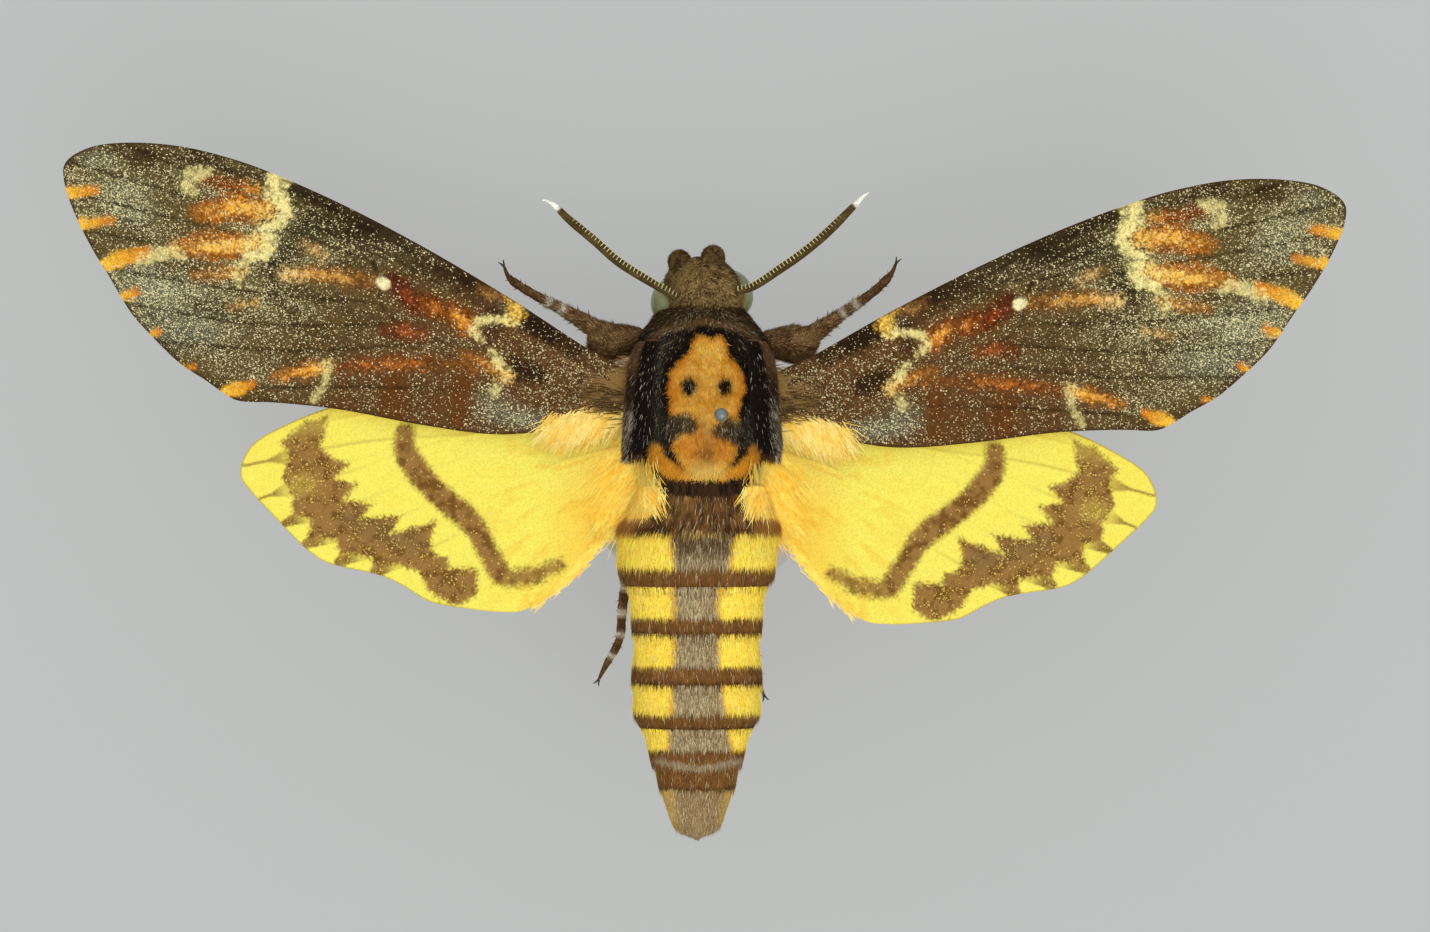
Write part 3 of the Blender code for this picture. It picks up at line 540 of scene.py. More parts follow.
CREAM_LINES = (
    ([(35.4, 6.2), (35.6, 4.6), (34.6, 3.9), (33.9, 3.0)], (1.15, 1.0, 0.75, 0.55), 0.95),
    ([(33.9, 3.0), (34.1, 1.8), (35.0, 1.0)], (0.65, 0.55, 0.4), 0.85),
    ([(35.2, 0.8), (34.3, 0.1), (34.3, -1.1), (35.4, -1.9)], (0.45, 0.7, 0.7, 0.5), 0.9),
    ([(35.4, -1.9), (36.0, -3.1), (36.2, -4.0), (35.6, -5.0)], (0.45, 0.35, 0.3, 0.2), 0.6),
    ([(42.1, 4.0), (43.3, 3.1), (43.4, 2.2), (42.7, 1.6)], (0.4, 0.75, 0.7, 0.4), 0.62),
    ([(45.0, -6.2), (43.8, -5.1), (42.4, -4.1), (41.2, -4.4)], (0.5, 0.8, 0.6, 0.35), 0.6),
    ([(11.0, 1.0), (12.3, 0.6), (13.3, 0.1), (13.5, -0.8), (13.2, -1.3), (12.4, -1.7)],
     (0.34, 0.34, 0.42, 0.42, 0.36, 0.25), 0.8),
    ([(11.3, -2.1), (10.6, -2.7), (10.1, -3.2)], (0.32, 0.42, 0.36), 0.75),
    ([(9.4, -3.2), (9.0, -4.0), (9.5, -4.8)], (0.3, 0.36, 0.3), 0.35),
    ([(9.7, -5.2), (9.7, -6.0)], (0.36, 0.4), 0.6),
    ([(25.0, -9.1), (24.8, -10.7), (25.1, -12.5)], (0.45, 0.4, 0.35), 0.5),
)
DARK_SHADES = (
    ([(4, 1), (16, 3.4), (34, 5.6)], (1.0, 1.5, 1.0), 0.75),
    ([(26, 3.2), (31, 2.0), (33, -2.8)], (1.4, 1.8, 0.9), 0.6),
    ([(6.8, 1.2), (8.8, 1.9), (9.4, 2.4)], (0.8, 1.1, 0.8), 0.85),
    ([(6.8, -2.8), (8.6, -2.8)], (0.9, 1.0), 0.85), ([(15.9, 3.4), (14.9, 3.1)], (0.8, 0.8), 0.7),
    ([(36, 5.6), (50, 3.4), (54.6, 0)], (0.4, 0.45, 0.3), 0.5),
    ([(12.6, 1.4), (11.8, -0.2), (11.6, -1.4)], (0.5, 0.8, 0.5), 0.55),
    ([(21.5, 4.1), (26.0, 4.4)], (1.0, 1.2), 0.5),
)
RUSTY_BARS = (
    ([(18.8, -7.9), (17.6, -11.4)], (1.0, 1.3, 0.9), 0.75),
    ([(14.9, -7.0), (13.9, -10.6)], (0.5, 0.7, 0.5), 0.45),
    ([(12.8, -5.8), (11.8, -9.4)], (0.8, 1.2, 0.8), 0.75),
    ([(23.4, -9.8), (22.4, -12.0)], (0.6, 0.8, 0.6), 0.4),
)
DUST_CLOUDS = (
    ((51.9, 1.2), (1.6, 0.9), 0.55), ((47.4, -2.0), (2.2, 0.9), 0.5), ((49.0, -0.4), (2.4, 0.7), 0.4),
    ((44.6, -7.0), (2.2, 1.0), 0.55), ((42.6, -8.7), (2.8, 1.3), 0.7), ((38.4, -10.4), (3.6, 1.5), 0.75),
    ((34.4, -11.8), (2.4, 1.1), 0.55), ((40.4, -6.9), (3.0, 0.9), 0.45), ((32.0, -8.4), (4.0, 0.9), 0.3),
    ((30.4, -12.2), (1.3, 0.8), 0.5), ((27.0, 1.9), (3.0, 1.0), 0.35), ((22.8, 3.4), (3.4, 1.1), 0.5),
    ((21.0, -4.9), (4.0, 0.9), 0.3), ((17.0, -3.4), (3.4, 0.8), 0.3), ((6.6, -7.1), (3.2, 0.8), 0.8),
    ((9.6, -6.6), (1.6, 1.0), 0.5), ((30.0, 0.6), (2.4, 1.2), 0.35), ((11.0, 2.6), (1.4, 0.8), 0.35),
)
DISCAL_SPOT = (23.0, 0.1)
print(len(GLOWING_MARKS), "glowing marks on each forewing")


# %% Paint of the forewing
def forewing_paint(u, v):
    """Colour and fleck density of the forewing's upper side."""
    rough = clouds(u, v, 1.1, 3)
    grain = clouds(u, v, 0.36, 4, 2)
    broad = clouds(u * 0.5, v, 3.0, 5)
    speckle = np.random.default_rng(9).random(len(u))
    frayed = 0.3 * rough + 0.3 * grain + 0.4 * speckle
    outer = ease(u + 0.6 * v, 12, 32)
    colour = lay(
        evenly((96, 66, 35), len(u)),
        (outer, (94, 80, 45)),
        (0.5 * outer * ease(broad, 0.4, 0.65) * (1 - ease(v, 2, 5)), (108, 104, 66)),
        (0.5 * ease(frayed, 0.5, 0.75), (44, 30, 15)),
        (0.6 * outer * ease(clouds(u * 0.4, v, 1.6, 6), 0.5, 0.72), (56, 40, 20)),
    )
    flecks = 0.1 + 0.08 * outer + 0.5 * (frayed - 0.42) + 0.5 * (broad - 0.5) * outer
    flecks = flecks * (1 - 0.35 * ease(u, 10, 14) * (1 - ease(u, 27, 34)))
    for marks, blur, paint in ((DARK_SHADES, 1.6, (36, 24, 13)), (RUSTY_BARS, 1.4, (98, 56, 20))):
        for line, widths, strength in marks:
            mask = strength * stroke(u, v, line, widths, blur, blur, frayed)
            colour = lay(colour, (mask, paint))
            flecks = flecks * (1 - 0.7 * mask)
    for centre, radii, strength in DUST_CLOUDS:
        mask = strength * patch(u, v, centre, radii, 0.9, -0.25, frayed, 1.4)
        colour = lay(colour, (0.75 * mask, (98, 84, 54) if 11 < centre[0] < 36 else (106, 112, 92)))
        flecks = flecks + 0.22 * mask

    # Dark lines along the veins
    for vein in FOREWING_VEINS:
        mask = stroke(u, v, smooth_curve(vein, 24), 0.1, 0.34, 0.3, grain) * ease(u, 6, 22)
        colour = lay(colour, (0.7 * mask, (38, 28, 14)))
        flecks = flecks * (1 - 0.7 * mask)

    # Glowing marks: a rusty rim, an orange heart with yellow streaks, and a pale end
    streaks = clouds(u * 0.45, v, 0.4, 7, 2)
    for line, widths, rim, heart, end in GLOWING_MARKS:
        mask = stroke(u, v, line, widths, 0.7, 1.6, frayed)
        share = along_line(u, v, line)[1]
        core = stroke(u, v, line, np.array(widths) * 0.36, 0.9, 1.5, frayed)
        core = core * (0.25 + 0.75 * ease(share + 0.5 * (grain - 0.5), 0.1, 0.5))
        tone = between(rim, heart, core) * ((0.6 + 0.8 * streaks) * (0.72 + 0.5 * speckle))[:, None]
        tone = lay(tone, (ease(share, 0.7, 1.0) * ease(frayed, 0.3, 0.7), end))
        colour = lay(colour, (mask, tone))
        flecks = flecks * (1 - 0.45 * mask)
    for line, widths in MARGIN_MARKS:
        mask = stroke(u, v, line, widths, 0.5, 0.9, frayed)
        colour = lay(colour, (mask, between((250, 196, 64), (206, 124, 34), along_line(u, v, line)[1])))
        flecks = flecks * (1 - 0.8 * mask)
    for line, widths, strength in CREAM_LINES:
        mask = strength * stroke(u, v, line, widths, 0.4, 1.1, frayed)
        mask = mask * (0.35 + 0.65 * ease(grain, 0.25, 0.5))
        colour = lay(colour, (mask, (242, 226, 142)))
        flecks = flecks * (1 - 0.4 * mask) + 0.12 * mask

    # The pale spot, the brown root with its pale vein, and the rim
    colour = lay(
        colour,
        (patch(u, v, DISCAL_SPOT, (0.62, 0.6), 0.25, 0, grain, 0.7), (242, 230, 172)),
        (0.7 * stroke(u, v, [(5.2, -0.4), (0.5, -1.0)], 0.14, 0.2), (126, 92, 56)),
        (0.8 * patch(u, v, (-1.6, -1.4), (3.6, 2.4), 0.9, 0, frayed, 1.6), (72, 52, 29)),
    )
    edge = along_line(u, v, smooth_curve(FOREWING, 160, closed=True))[0]
    colour = lay(colour, (0.6 * (1 - ease(edge, 0.05, 0.4)) * (colour.mean(axis=1) < 0.3), (58, 38, 18)))
    return colour, np.clip(flecks * ease(edge, 0.0, 0.3), 0.015, 0.5)


print(len(CREAM_LINES), "cream lines and", len(DUST_CLOUDS), "clouds of pale dust on each forewing")

# %% Paint of the hindwing
BAND_IN = [
    (27.0, 2.4), (27.9, -0.6), (26.7, -1.6), (25.3, -2.2), (26.5, -3.7), (24.4, -4.1), (25.7, -5.7),
    (22.9, -5.9), (24.2, -7.4), (20.2, -7.0), (21.3, -8.8), (17.0, -7.6), (17.6, -9.8), (17.2, -10.7),
    (15.9, -11.1), (15.8, -12.1), (13.1, -12.1), (13.2, -14.6), (14.6, -15.4),
]
BAND_OUT = [
    (16.4, -15.2), (17.8, -14.1), (18.7, -12.3), (21.1, -11.7), (22.6, -12.3), (23.2, -11.1),
    (24.9, -10.7), (26.1, -10.9), (26.5, -9.4), (28.9, -9.2), (28.9, -7.4), (30.4, -7.1), (30.6, -5.1),
    (31.5, -3.6), (30.8, -1.6), (31.6, -0.1), (29.4, 1.6),
]
INNER_BAND = [
    (19.9, 0.6), (19.9, -0.8), (19.2, -2.3), (17.8, -4.1), (16.0, -5.8), (14.3, -7.2), (13.3, -8.4),
    (12.6, -9.8), (11.8, -11.2), (11.2, -12.3),
]
INNER_WIDTHS = (0.9, 1.15, 1.15, 1.1, 1.15, 1.05, 0.95, 1.05)
INNER_HOOK = [(11.0, -12.8), (9.6, -13.0), (7.6, -12.7), (5.4, -11.7)]


def hindwing_paint(u, v):
    """Colour and fleck density of the hindwing's upper side."""
    rough = clouds(u, v, 0.7, 13)
    grain = clouds(u, v, 0.22, 17, 2)
    broad = clouds(u * 0.5, v, 3.5, 15)
    combed = clouds(np.arctan2(v - 1.5, u + 5) * 9, np.hypot(u, v) * 0.2, 0.5, 21)
    frayed = 0.35 * rough + 0.25 * grain + 0.4 * np.random.default_rng(19).random(len(u))
    inner = np.maximum.reduce([
        stroke(u, v, smooth_curve(INNER_BAND, 40), INNER_WIDTHS, 0.75, 0.8, frayed),
        0.45 * stroke(u, v, [(19.4, 2.4), (19.7, 1.2)], (0.4, 0.7), 0.9, 0.9, frayed),
        0.92 * stroke(u, v, INNER_HOOK, (0.9, 0.85, 0.75, 0.5), 0.9, 1.2, frayed),
    ])
    outer = inside(u, v, BAND_IN + BAND_OUT, 0.5, frayed, 1.0) * (1 - 0.2 * ease(v, -0.6, 1.6))
    outer = outer * (1 - 0.2 * patch(u, v, (29.7, -4.2), (1.4, 1.0), 0.8))
    near = 1 - ease(along_line(u, v, BAND_OUT)[0], 0.0, 2.0)
    for vein in HINDWING_VEINS[1:7]:
        reach, share = along_line(u, v, smooth_curve(vein, 30))
        thin = 1 - ease(reach - 0.5 * near + 0.12 * (frayed - 0.5), 0.03, 0.2)
        tips = ease(share, 0.82, 0.95) * ease(u, 18, 22)
        outer = np.maximum(outer, thin * np.maximum(0.9 * tips, 0.35 * ease(share, 0.35, 0.7)))
    edge = along_line(u, v, smooth_curve(HINDWING, 140, closed=True))[0]
    margin = ease(u - 0.4 * v, 16, 22)
    colour = lay(
        evenly((244, 232, 98), len(u)),
        (0.45 * ease(broad, 0.4, 0.7), (248, 224, 84)),
        (0.65 * (1 - ease(u, -1, 9)), (250, 208, 96)),
        (0.4 * (1 - ease(np.hypot(u - 2, (v + 9) * 0.6), 2, 6)), (246, 196, 60)),
        (0.5 * ease(combed, 0.5, 0.75) * (1 - ease(u, 4, 20)), (240, 186, 62)),
        (np.maximum(inner, outer), between((152, 114, 60), (116, 80, 36), ease(rough, 0.4, 0.7))),
        (0.4 * outer * stroke(u, v, [(25, -7.5), (19, -9.6)], 1.0, 1.6), (118, 98, 62)),
        (0.6 * (1 - ease(edge, 0.02, 0.16)) * margin, (150, 112, 60)),
        (0.5 * (1 - ease(edge, 0.0, 0.35)) * (1 - margin), (248, 214, 90)),
    )
    flecks = 0.16 * outer * ease(rough, 0.3, 0.7) + 0.03 * inner
    return colour, np.clip(flecks + 0.14 * patch(u, v, (29.6, -4.2), (1.6, 1.2), 0.8), 0, 0.5)


print("the hindwing's outer band has", len(BAND_IN + BAND_OUT), "points")

# %% Paint of the undersides
def underside_paint(u, v, fore):
    """Below, both wings are ochre yellow, browner towards the outer margin, with two soft bands."""
    rough = clouds(u, v, 0.9, 23)
    reach = 50.0 if fore else 33.0
    layers = [(0.75 * ease(u - 0.25 * v, 0.72 * reach, 1.02 * reach), (112, 84, 46))]
    for where, strength in ((0.48, 0.55), (0.68, 0.7)):
        line = [(where * reach, 6), (where * reach * 1.03, 0), (where * reach * 0.95, -14)]
        layers.append((strength * stroke(u, v, line, 0.7, 1.0, 1.0, rough), (106, 74, 34)))
    if fore:
        layers.append((0.7 * (1 - ease(u, 2, 18)), (120, 92, 52)))
    return lay(evenly((206, 164, 66), len(u)), *layers)


print("underside at the root:", underside_paint(np.zeros(1), np.zeros(1), True)[0].round(2))

# %% Build the four wings
WING_SPACING = 0.17
ROW_SHARE = 0.87  # the step between rows of the net, which makes its triangles equal-sided
RIM_STEPS = int(125 / WING_SPACING)


def wing_net(outline):
    """A net of small triangles inside a wing's outline, as u, v points and triangles."""
    rim = smooth_curve(outline[::-1], RIM_STEPS, closed=True)
    low, high = rim.min(axis=0), rim.max(axis=0)
    u, v = np.meshgrid(
        np.arange(low[0], high[0], WING_SPACING), np.arange(low[1], high[1], WING_SPACING * ROW_SHARE)
    )
    u = (u + (np.arange(len(u)) % 2)[:, None] * WING_SPACING / 2).ravel()
    v = v.ravel()
    loop = np.vstack([rim, rim[:1]])
    clear = within(u, v, loop) & (along_line(u, v, loop)[0] > WING_SPACING * 0.55)
    flat = np.vstack([rim, np.column_stack([u, v])[clear]])
    made = delaunay_2d_cdt([Vector(p) for p in flat], [], [list(range(len(rim)))], 0, 1e-4)
    triangles = np.array([tri for tri, of in zip(made[2], made[5]) if 0 in of], np.int32)
    return np.array([tuple(p) for p in made[0]]), triangles


def build_wing(name, outline, veins, painter, finish):
    flat, triangles = wing_net(outline)
    u, v = flat[:, 0], flat[:, 1]
    x, y, z = wing_place(name, u, v)
    nearest = np.min([along_line(u, v, smooth_curve(vein, 24))[0] for vein in veins], axis=0)
    ridge = VEIN_HEIGHT * (1 - ease(nearest, 0.0, VEIN_HALF_WIDTH))
    sag = 0.05 * (1 - ease(nearest, 0.3, 1.6))
    edge = along_line(u, v, smooth_curve(outline, 160, closed=True))[0]
    half = EDGE_HALF + (MEMBRANE_HALF - EDGE_HALF) * ease(edge, 0.0, 0.7)
    top = np.column_stack([x, y, z + half + ridge + sag])
    bottom = np.column_stack([x, y, z - half - ridge * 0.5 + sag])

    # Both faces, and a wall along the edges that only one triangle has
    count = len(flat)
    upper = triangles[:, ::-1] if name.endswith("_l") else triangles
    keys = {(a, b) for k in range(3) for a, b in upper[:, [k, (k + 1) % 3]].tolist()}
    rim = [(a, b) for a, b in keys if (b, a) not in keys]
    wall = [(b, a, a + count) for a, b in rim] + [(b, a + count, b + count) for a, b in rim]
    faces = np.vstack([upper, upper[:, ::-1] + count, np.array(wall, np.int32)])
    colour, flecks = painter(u, v)
    below = underside_paint(u, v, name.startswith("forewing"))
    low, high = flat.min(axis=0), flat.max(axis=0)
    chart = (flat - low) / (high - low).max() * 0.96 + 0.01
    bake = np.vstack([chart, chart + (0, 0.5)])[faces]
    bake[len(upper) * 2:] = chart[faces[len(upper) * 2:] % count]
    make_piece(
        name + "_membrane", np.vstack([top, bottom]), faces, finish, (name,),
        np.vstack([colour, below]), np.concatenate([flecks, flecks * 0.3]), bake.reshape(-1, 2),
    )


forewing_finish = scale_finish("forewing_scales", 0.72, 0.1, 0.34, FLECK_CREAM, 0.3, True)
hindwing_finish = scale_finish("hindwing_scales", 0.68, 0.11, 0.1, FLECK_YELLOW, 0.15, True)
for side in "lr":
    build_wing("forewing_" + side, FOREWING, FOREWING_VEINS, forewing_paint, forewing_finish)
    build_wing("hindwing_" + side, HINDWING, HINDWING_VEINS, hindwing_paint, hindwing_finish)

# %% [markdown]
# ## The body's skin
# Under its fur a moth is a hard shell. One skin runs from the forehead to the tip of the abdomen, built
# from cross-sections like the ribs of a boat, and lies inside the solids by the depth of the coat. The
# shoulder covers and the two palps in front of the face are shells that sit on it.

# %% Body sections, as in the solids: y, middle x, middle z, half width, height above, depth below
BODY = [
    (20.9, 0.0, 21.3, 1.2, 1.3, 1.5), (20.3, 0.0, 21.4, 2.4, 2.4, 2.7), (19.4, 0.0, 21.6, 3.2, 3.2, 3.4),
    (18.2, 0.15, 21.8, 3.8, 3.7, 3.8), (16.9, 0.35, 21.9, 4.0, 3.8, 3.9), (16.1, 0.25, 22.0, 3.9, 4.0, 4.2),
    (15.4, 0.0, 22.0, 4.6, 4.7, 4.9), (14.6, 0.0, 22.0, 5.2, 5.3, 5.5), (13.85, 0.0, 22.0, 5.8, 5.7, 6.0),
    (12.5, 0.0, 22.0, 6.55, 6.1, 6.3), (11.2, 0.0, 22.0, 7.0, 6.4, 6.5), (9.0, 0.0, 22.0, 7.2, 6.8, 6.9),
    (6.0, 0.0, 22.0, 7.1, 7.0, 7.0), (3.2, 0.0, 22.0, 6.7, 6.8, 6.9), (1.0, -0.1, 22.0, 6.1, 6.1, 6.4),
    (-0.45, -0.1, 22.0, 5.8, 5.5, 6.0),
]
ABDOMEN_FRONT, ABDOMEN_TIP = -0.75, -34.0
ABDOMEN_MARGINS = (-5.25, -10.2, -14.7, -19.4, -23.6, -27.0, -29.45)
ABDOMEN_WIDTHS = [
    (-34.0, 1.4), (-33.2, 2.25), (-31.5, 3.0), (-29.5, 3.75), (-27.0, 4.45), (-23.6, 5.5), (-22.0, 6.2),
    (-19.4, 6.3), (-14.7, 6.25), (-10.2, 6.9), (-9.0, 7.5), (-5.3, 7.9), (-3.0, 7.2), (-0.75, 6.4),
]
SEGMENT_FLARE = 4.0
ABDOMEN_ROUNDNESS = 0.9
ABDOMEN_BEND = -0.5
ABDOMEN_DROOP = 1.6
SEGMENT_TUCK = 0.2
ABDOMEN_OUTLINE = smooth_curve(ABDOMEN_WIDTHS, 90)
SQUARENESS = 2.25
TIP_LENGTH = 1.3  # over which the last segment rounds off
HEAD_TURN = math.radians(8.0)
HEAD_PIVOT_Y = 16.8
COAT_DEPTHS = [
    (-34.0, 0.15), (-29.0, 0.12), (-4.0, 0.15), (0.0, 0.45), (14.0, 0.45), (16.5, 0.35), (21.0, 0.3),
]
TRUNK = smooth_curve(BODY, 120)[::-1]


def section_at(y):
    """A cross-section of the body. Each segment of the abdomen flares to its rear margin."""
    if y > ABDOMEN_FRONT:
        return [y] + [float(np.interp(y, TRUNK[:, 0], TRUNK[:, k])) for k in range(1, 6)]
    share = (ABDOMEN_FRONT - y) / (ABDOMEN_FRONT - ABDOMEN_TIP)
    half = float(np.interp(y, *ABDOMEN_OUTLINE.T))
    ahead = [margin for margin in ABDOMEN_MARGINS if margin >= y]
    if ahead:
        half -= SEGMENT_TUCK * float(1 - ease(ahead[-1] - y, 0.0, SEGMENT_FLARE))
    high = half * ABDOMEN_ROUNDNESS
    return [y, ABDOMEN_BEND * min(1.0, share * 5), 21.9 - ABDOMEN_DROOP * share**1.5, half, high, high]


def squared(wave):
    """A sine or cosine pulled out towards the body's slightly square section."""
    return np.sign(wave) * np.abs(wave) ** (2 / SQUARENESS)


def turn_head(points, share=1.0):
    """The head's turn for what is fixed to it, or a share of the turn for what lies behind it."""
    c, s = np.cos(HEAD_TURN * share), np.sin(HEAD_TURN * share)
    x, y = points[..., 0], points[..., 1] - HEAD_PIVOT_Y
    return np.stack([x * c - y * s, x * s + y * c + HEAD_PIVOT_Y, points[..., 2]], -1)


def body_grid(stations, turns):
    """Points of the skin: a row for each station, a column for each turn, starting at the belly."""
    rows = np.array([section_at(y) for y in stations])
    depth = np.interp(rows[:, 0], *zip(*COAT_DEPTHS))
    short = np.clip((rows[:, 0] - ABDOMEN_TIP) / TIP_LENGTH, 0, 1)
    ends = np.minimum(np.sqrt(1 - (1 - short) ** 2), ease(-rows[:, 0], -21.0, -20.7))
    ends = 0.05 + 0.95 * ends
    half, up, down = ((np.maximum(rows[:, k] - depth, 0.15) * ends)[:, None] for k in (3, 4, 5))
    turn = np.linspace(-math.pi / 2, 1.5 * math.pi, turns + 1)[None]
    upright = squared(np.sin(turn))
    y = np.repeat(rows[:, :1], turns + 1, axis=1)
    z = rows[:, 2:3] + np.where(upright > 0, up, down) * upright
    return turn_head(np.stack([rows[:, 1:2] + half * squared(np.cos(turn)), y, z], -1), ease(y, 15.6, 17.4))


def tube_grid(route, radii, steps, sides):
    """A tube along a route as rows of points, with the last column on the first."""
    centres = smooth_curve(route, steps)
    width = np.interp(np.linspace(0, 1, steps), np.linspace(0, 1, len(radii)), radii)
    ahead = unit(np.gradient(centres, axis=0))
    across = np.array((1.0, 0, 0)) if abs(ahead[0][2]) > 0.9 else np.array((0, 0, 1.0))
    turn = np.linspace(0, 2 * math.pi, sides + 1)[:, None]
    rows = []
    for centre, way, radius in zip(centres, ahead, width):
        across = unit(across - way * (across @ way))
        rows.append(centre + (across * np.cos(turn) + np.cross(way, across) * np.sin(turn)) * radius)
    return np.array(rows)


def mirrored(route):
    return [(-p[0], *p[1:]) for p in route]


STATIONS = np.concatenate([
    np.arange(20.95, -0.6, -0.2), np.arange(-0.75, -33.8, -0.2), np.arange(-33.8, -34.0, -0.04), [-34.0],
])
SKIN_TURNS = 96
trunk_net = body_grid(STATIONS, SKIN_TURNS)
print("skin net", trunk_net.shape)

# %% Shoulder covers and palps
TEGULA_FRONT, TEGULA_REAR = 13.0, 2.5
TEGULA_LOW, TEGULA_HIGH = math.radians(24.0), math.radians(57.0)
TEGULA_FLARE = 1.3
TEGULA_ROWS, TEGULA_COLUMNS = 60, 28
PALP = [(1.05, 17.9, 17.2), (1.45, 19.9, 17.7), (1.6, 20.75, 20.0), (1.55, 20.35, 23.2), (1.5, 20.2, 23.9)]
PALP_RADII = (0.7, 0.95, 1.0, 0.95, 0.45, 0.05)


def cover_grid(side, lift):
    """Outer face of a shoulder cover: a patch of the thorax's surface, lifted off it, flaring to the rear."""
    rows = []
    for share in np.linspace(0, 1, TEGULA_ROWS):
        y, x, z, half, up, _ = section_at(TEGULA_FRONT + (TEGULA_REAR - TEGULA_FRONT) * share)
        spread = math.sin(math.pi * (0.16 + 0.72 * share)) ** 0.5 * (1 - 0.35 * float(ease(share, 0.88, 1.0)))
        middle = (TEGULA_LOW + TEGULA_HIGH) / 2 - 0.12 * share
        reach = (TEGULA_HIGH - TEGULA_LOW) / 2 * spread
        turn = np.linspace(middle - reach, middle + reach, TEGULA_COLUMNS)
        rounded = 1 - np.abs(np.linspace(-1, 1, TEGULA_COLUMNS)) ** 4
        grow = (lift + TEGULA_FLARE * share**3) * (0.4 + 0.6 * rounded)
        across, above = (half + grow) * squared(np.cos(turn)), (up + grow) * squared(np.sin(turn))
        rows.append(np.column_stack([x + side * across, np.full(TEGULA_COLUMNS, y), z + above]))
    return np.array(rows)


covers = {side: cover_grid(side, 0.45) for side in (-1, 1)}
palps = {side: tube_grid(PALP if side > 0 else mirrored(PALP), PALP_RADII, 40, 28) for side in (-1, 1)}
palps = {side: turn_head(net) for side, net in palps.items()}
print("covers", covers[1].shape, "palps", palps[1].shape)

# %% [markdown]
# ## Markings of the body
# The mark on the thorax is what gives the moth its name. It isn't drawn on a smooth skin: each tuft of fur
# has one colour, and the skull is what a few thousand of them make together. The same function paints the
# skin below and each tuft above it, so that no other colour shows through a gap.

# %% Lines and outlines of the markings
SKULL = [
    (0.62, 12.9), (0.2, 13.25), (-0.3, 13.3), (-0.75, 13.0), (-1.0, 12.5), (-1.1, 11.9), (-1.5, 11.4),
    (-2.3, 10.7), (-2.8, 10.0), (-3.05, 9.2), (-3.1, 8.2), (-2.85, 7.3), (-2.95, 6.2), (-2.95, 5.0),
    (-2.9, 3.9), (-2.75, 3.0), (-2.3, 1.9), (-1.8, 0.9), (0.3, 0.0), (2.4, 0.9), (2.9, 1.9), (3.35, 3.0),
    (3.4, 3.9), (3.3, 5.0), (3.25, 6.2), (3.55, 7.2), (3.9, 8.2), (3.85, 9.0), (3.65, 9.7), (3.25, 10.5),
    (2.55, 11.2), (2.15, 11.8), (2.15, 12.6), (1.85, 13.15), (1.45, 13.2), (1.0, 12.95),
]
CRESCENT = [
    (-4.3, 2.7), (-4.1, 1.8), (-3.1, 0.85), (-1.4, 0.1), (0.3, -0.1), (2.1, 0.1), (3.7, 0.9), (4.65, 1.9),
    (4.8, 2.6),
]
UNDER_BAND = [(-5.9, 1.6), (-4.8, 0.3), (-2.8, -0.75), (0.2, -1.15), (3.2, -0.85), (5.1, 0.2), (6.2, 1.6)]
LOBES = (
    [(-9.5, 2.6), (-6.6, 1.9), (-5.2, 0.4), (-3.7, -1.3), (-4.2, -2.7), (-5.6, -3.7), (-7.4, -4.2),
     (-9.5, -4.0)],
    [(9.5, 2.6), (6.6, 1.9), (5.2, 0.4), (3.8, -1.3), (4.2, -2.6), (5.4, -3.5), (7.0, -4.0), (9.5, -3.6)],
)
RINGS = ((-8.5, -10.45), (-13.15, -14.8), (-17.7, -19.5), (-22.2, -23.7), (-25.6, -29.5))
STRIPE = [
    (-5.4, 2.9, 0.0), (-8.8, 2.4, 0.0), (-10.5, 2.0, -0.55), (-17.5, 2.05, -0.55), (-22.5, 2.5, -0.35),
    (-26, 3.0, -0.2), (-30, 2.4, -0.3), (-34, 1.2, -0.5),
]
FLANKS = [
    (-4.1, 3.4), (-4.4, 8.0), (-4.4, 11.5), (-2.6, 14.2), (0.4, 15.2), (3.4, 14.4), (5.2, 11.5), (5.1, 7.0),
    (4.3, 3.4),
]
PALE_ARC = [(-5.2, 12.5), (-3.2, 13.9), (0.3, 14.6), (3.6, 13.9), (5.6, 12.5)]
DARK_ARC = [(-5.0, 11.7), (-3.2, 13.1), (0.3, 13.9), (3.6, 13.1), (5.4, 11.7)]
# Painted shade: black stripes where the gaps between the thorax and its shoulder covers lie in shadow
SHOULDER_GAP_SHADE = (
    ([(-5.6, 12.5), (-5.75, 8.0), (-5.45, 3.0)], (0.5, 0.65, 0.55)),
    ([(5.9, 12.6), (6.1, 8.0), (5.6, 2.0)], (0.5, 0.65, 0.6)),
)
GREY_STRIPS = (
    ([(-6.75, 8.6), (-6.8, 5.0), (-6.5, 2.4)], (0.4, 0.6, 0.75)),
    ([(7.1, 7.6), (7.1, 4.4), (6.6, 1.6)], (0.4, 0.6, 0.75)),
)
EYE_HOLES = (((-1.18, 8.5), (0.66, 0.86)), ((2.1, 8.45), (0.6, 0.8)))
CHEEKS = (
    ((-1.75, 4.95), (1.5, 1.1)), ((-2.7, 4.2), (0.6, 0.9)),
    ((2.3, 4.55), (1.45, 0.95)), ((3.1, 3.9), (0.6, 0.8)),
)
JAWS = ([(-3.3, 3.9), (-3.15, 2.7), (-2.35, 1.35)], [(3.5, 3.8), (3.75, 2.4), (2.9, 0.95)])
CRESCENT_WIDTHS = (0.6, 0.75, 0.62, 0.42, 0.45, 0.42, 0.6, 0.72, 0.55)
UNDER_WIDTHS = (0.7, 0.55, 0.5, 0.5, 0.5, 0.55, 0.7)
WAIST_LINE = [(-1.7, -5.05), (0.0, -5.3), (1.75, -5.45)]
REAR_ARC = [(-4.2, -26.6), (-0.3, -27.3), (3.6, -26.6)]
print(len(SKULL), "points round the skull,", len(RINGS), "rings")


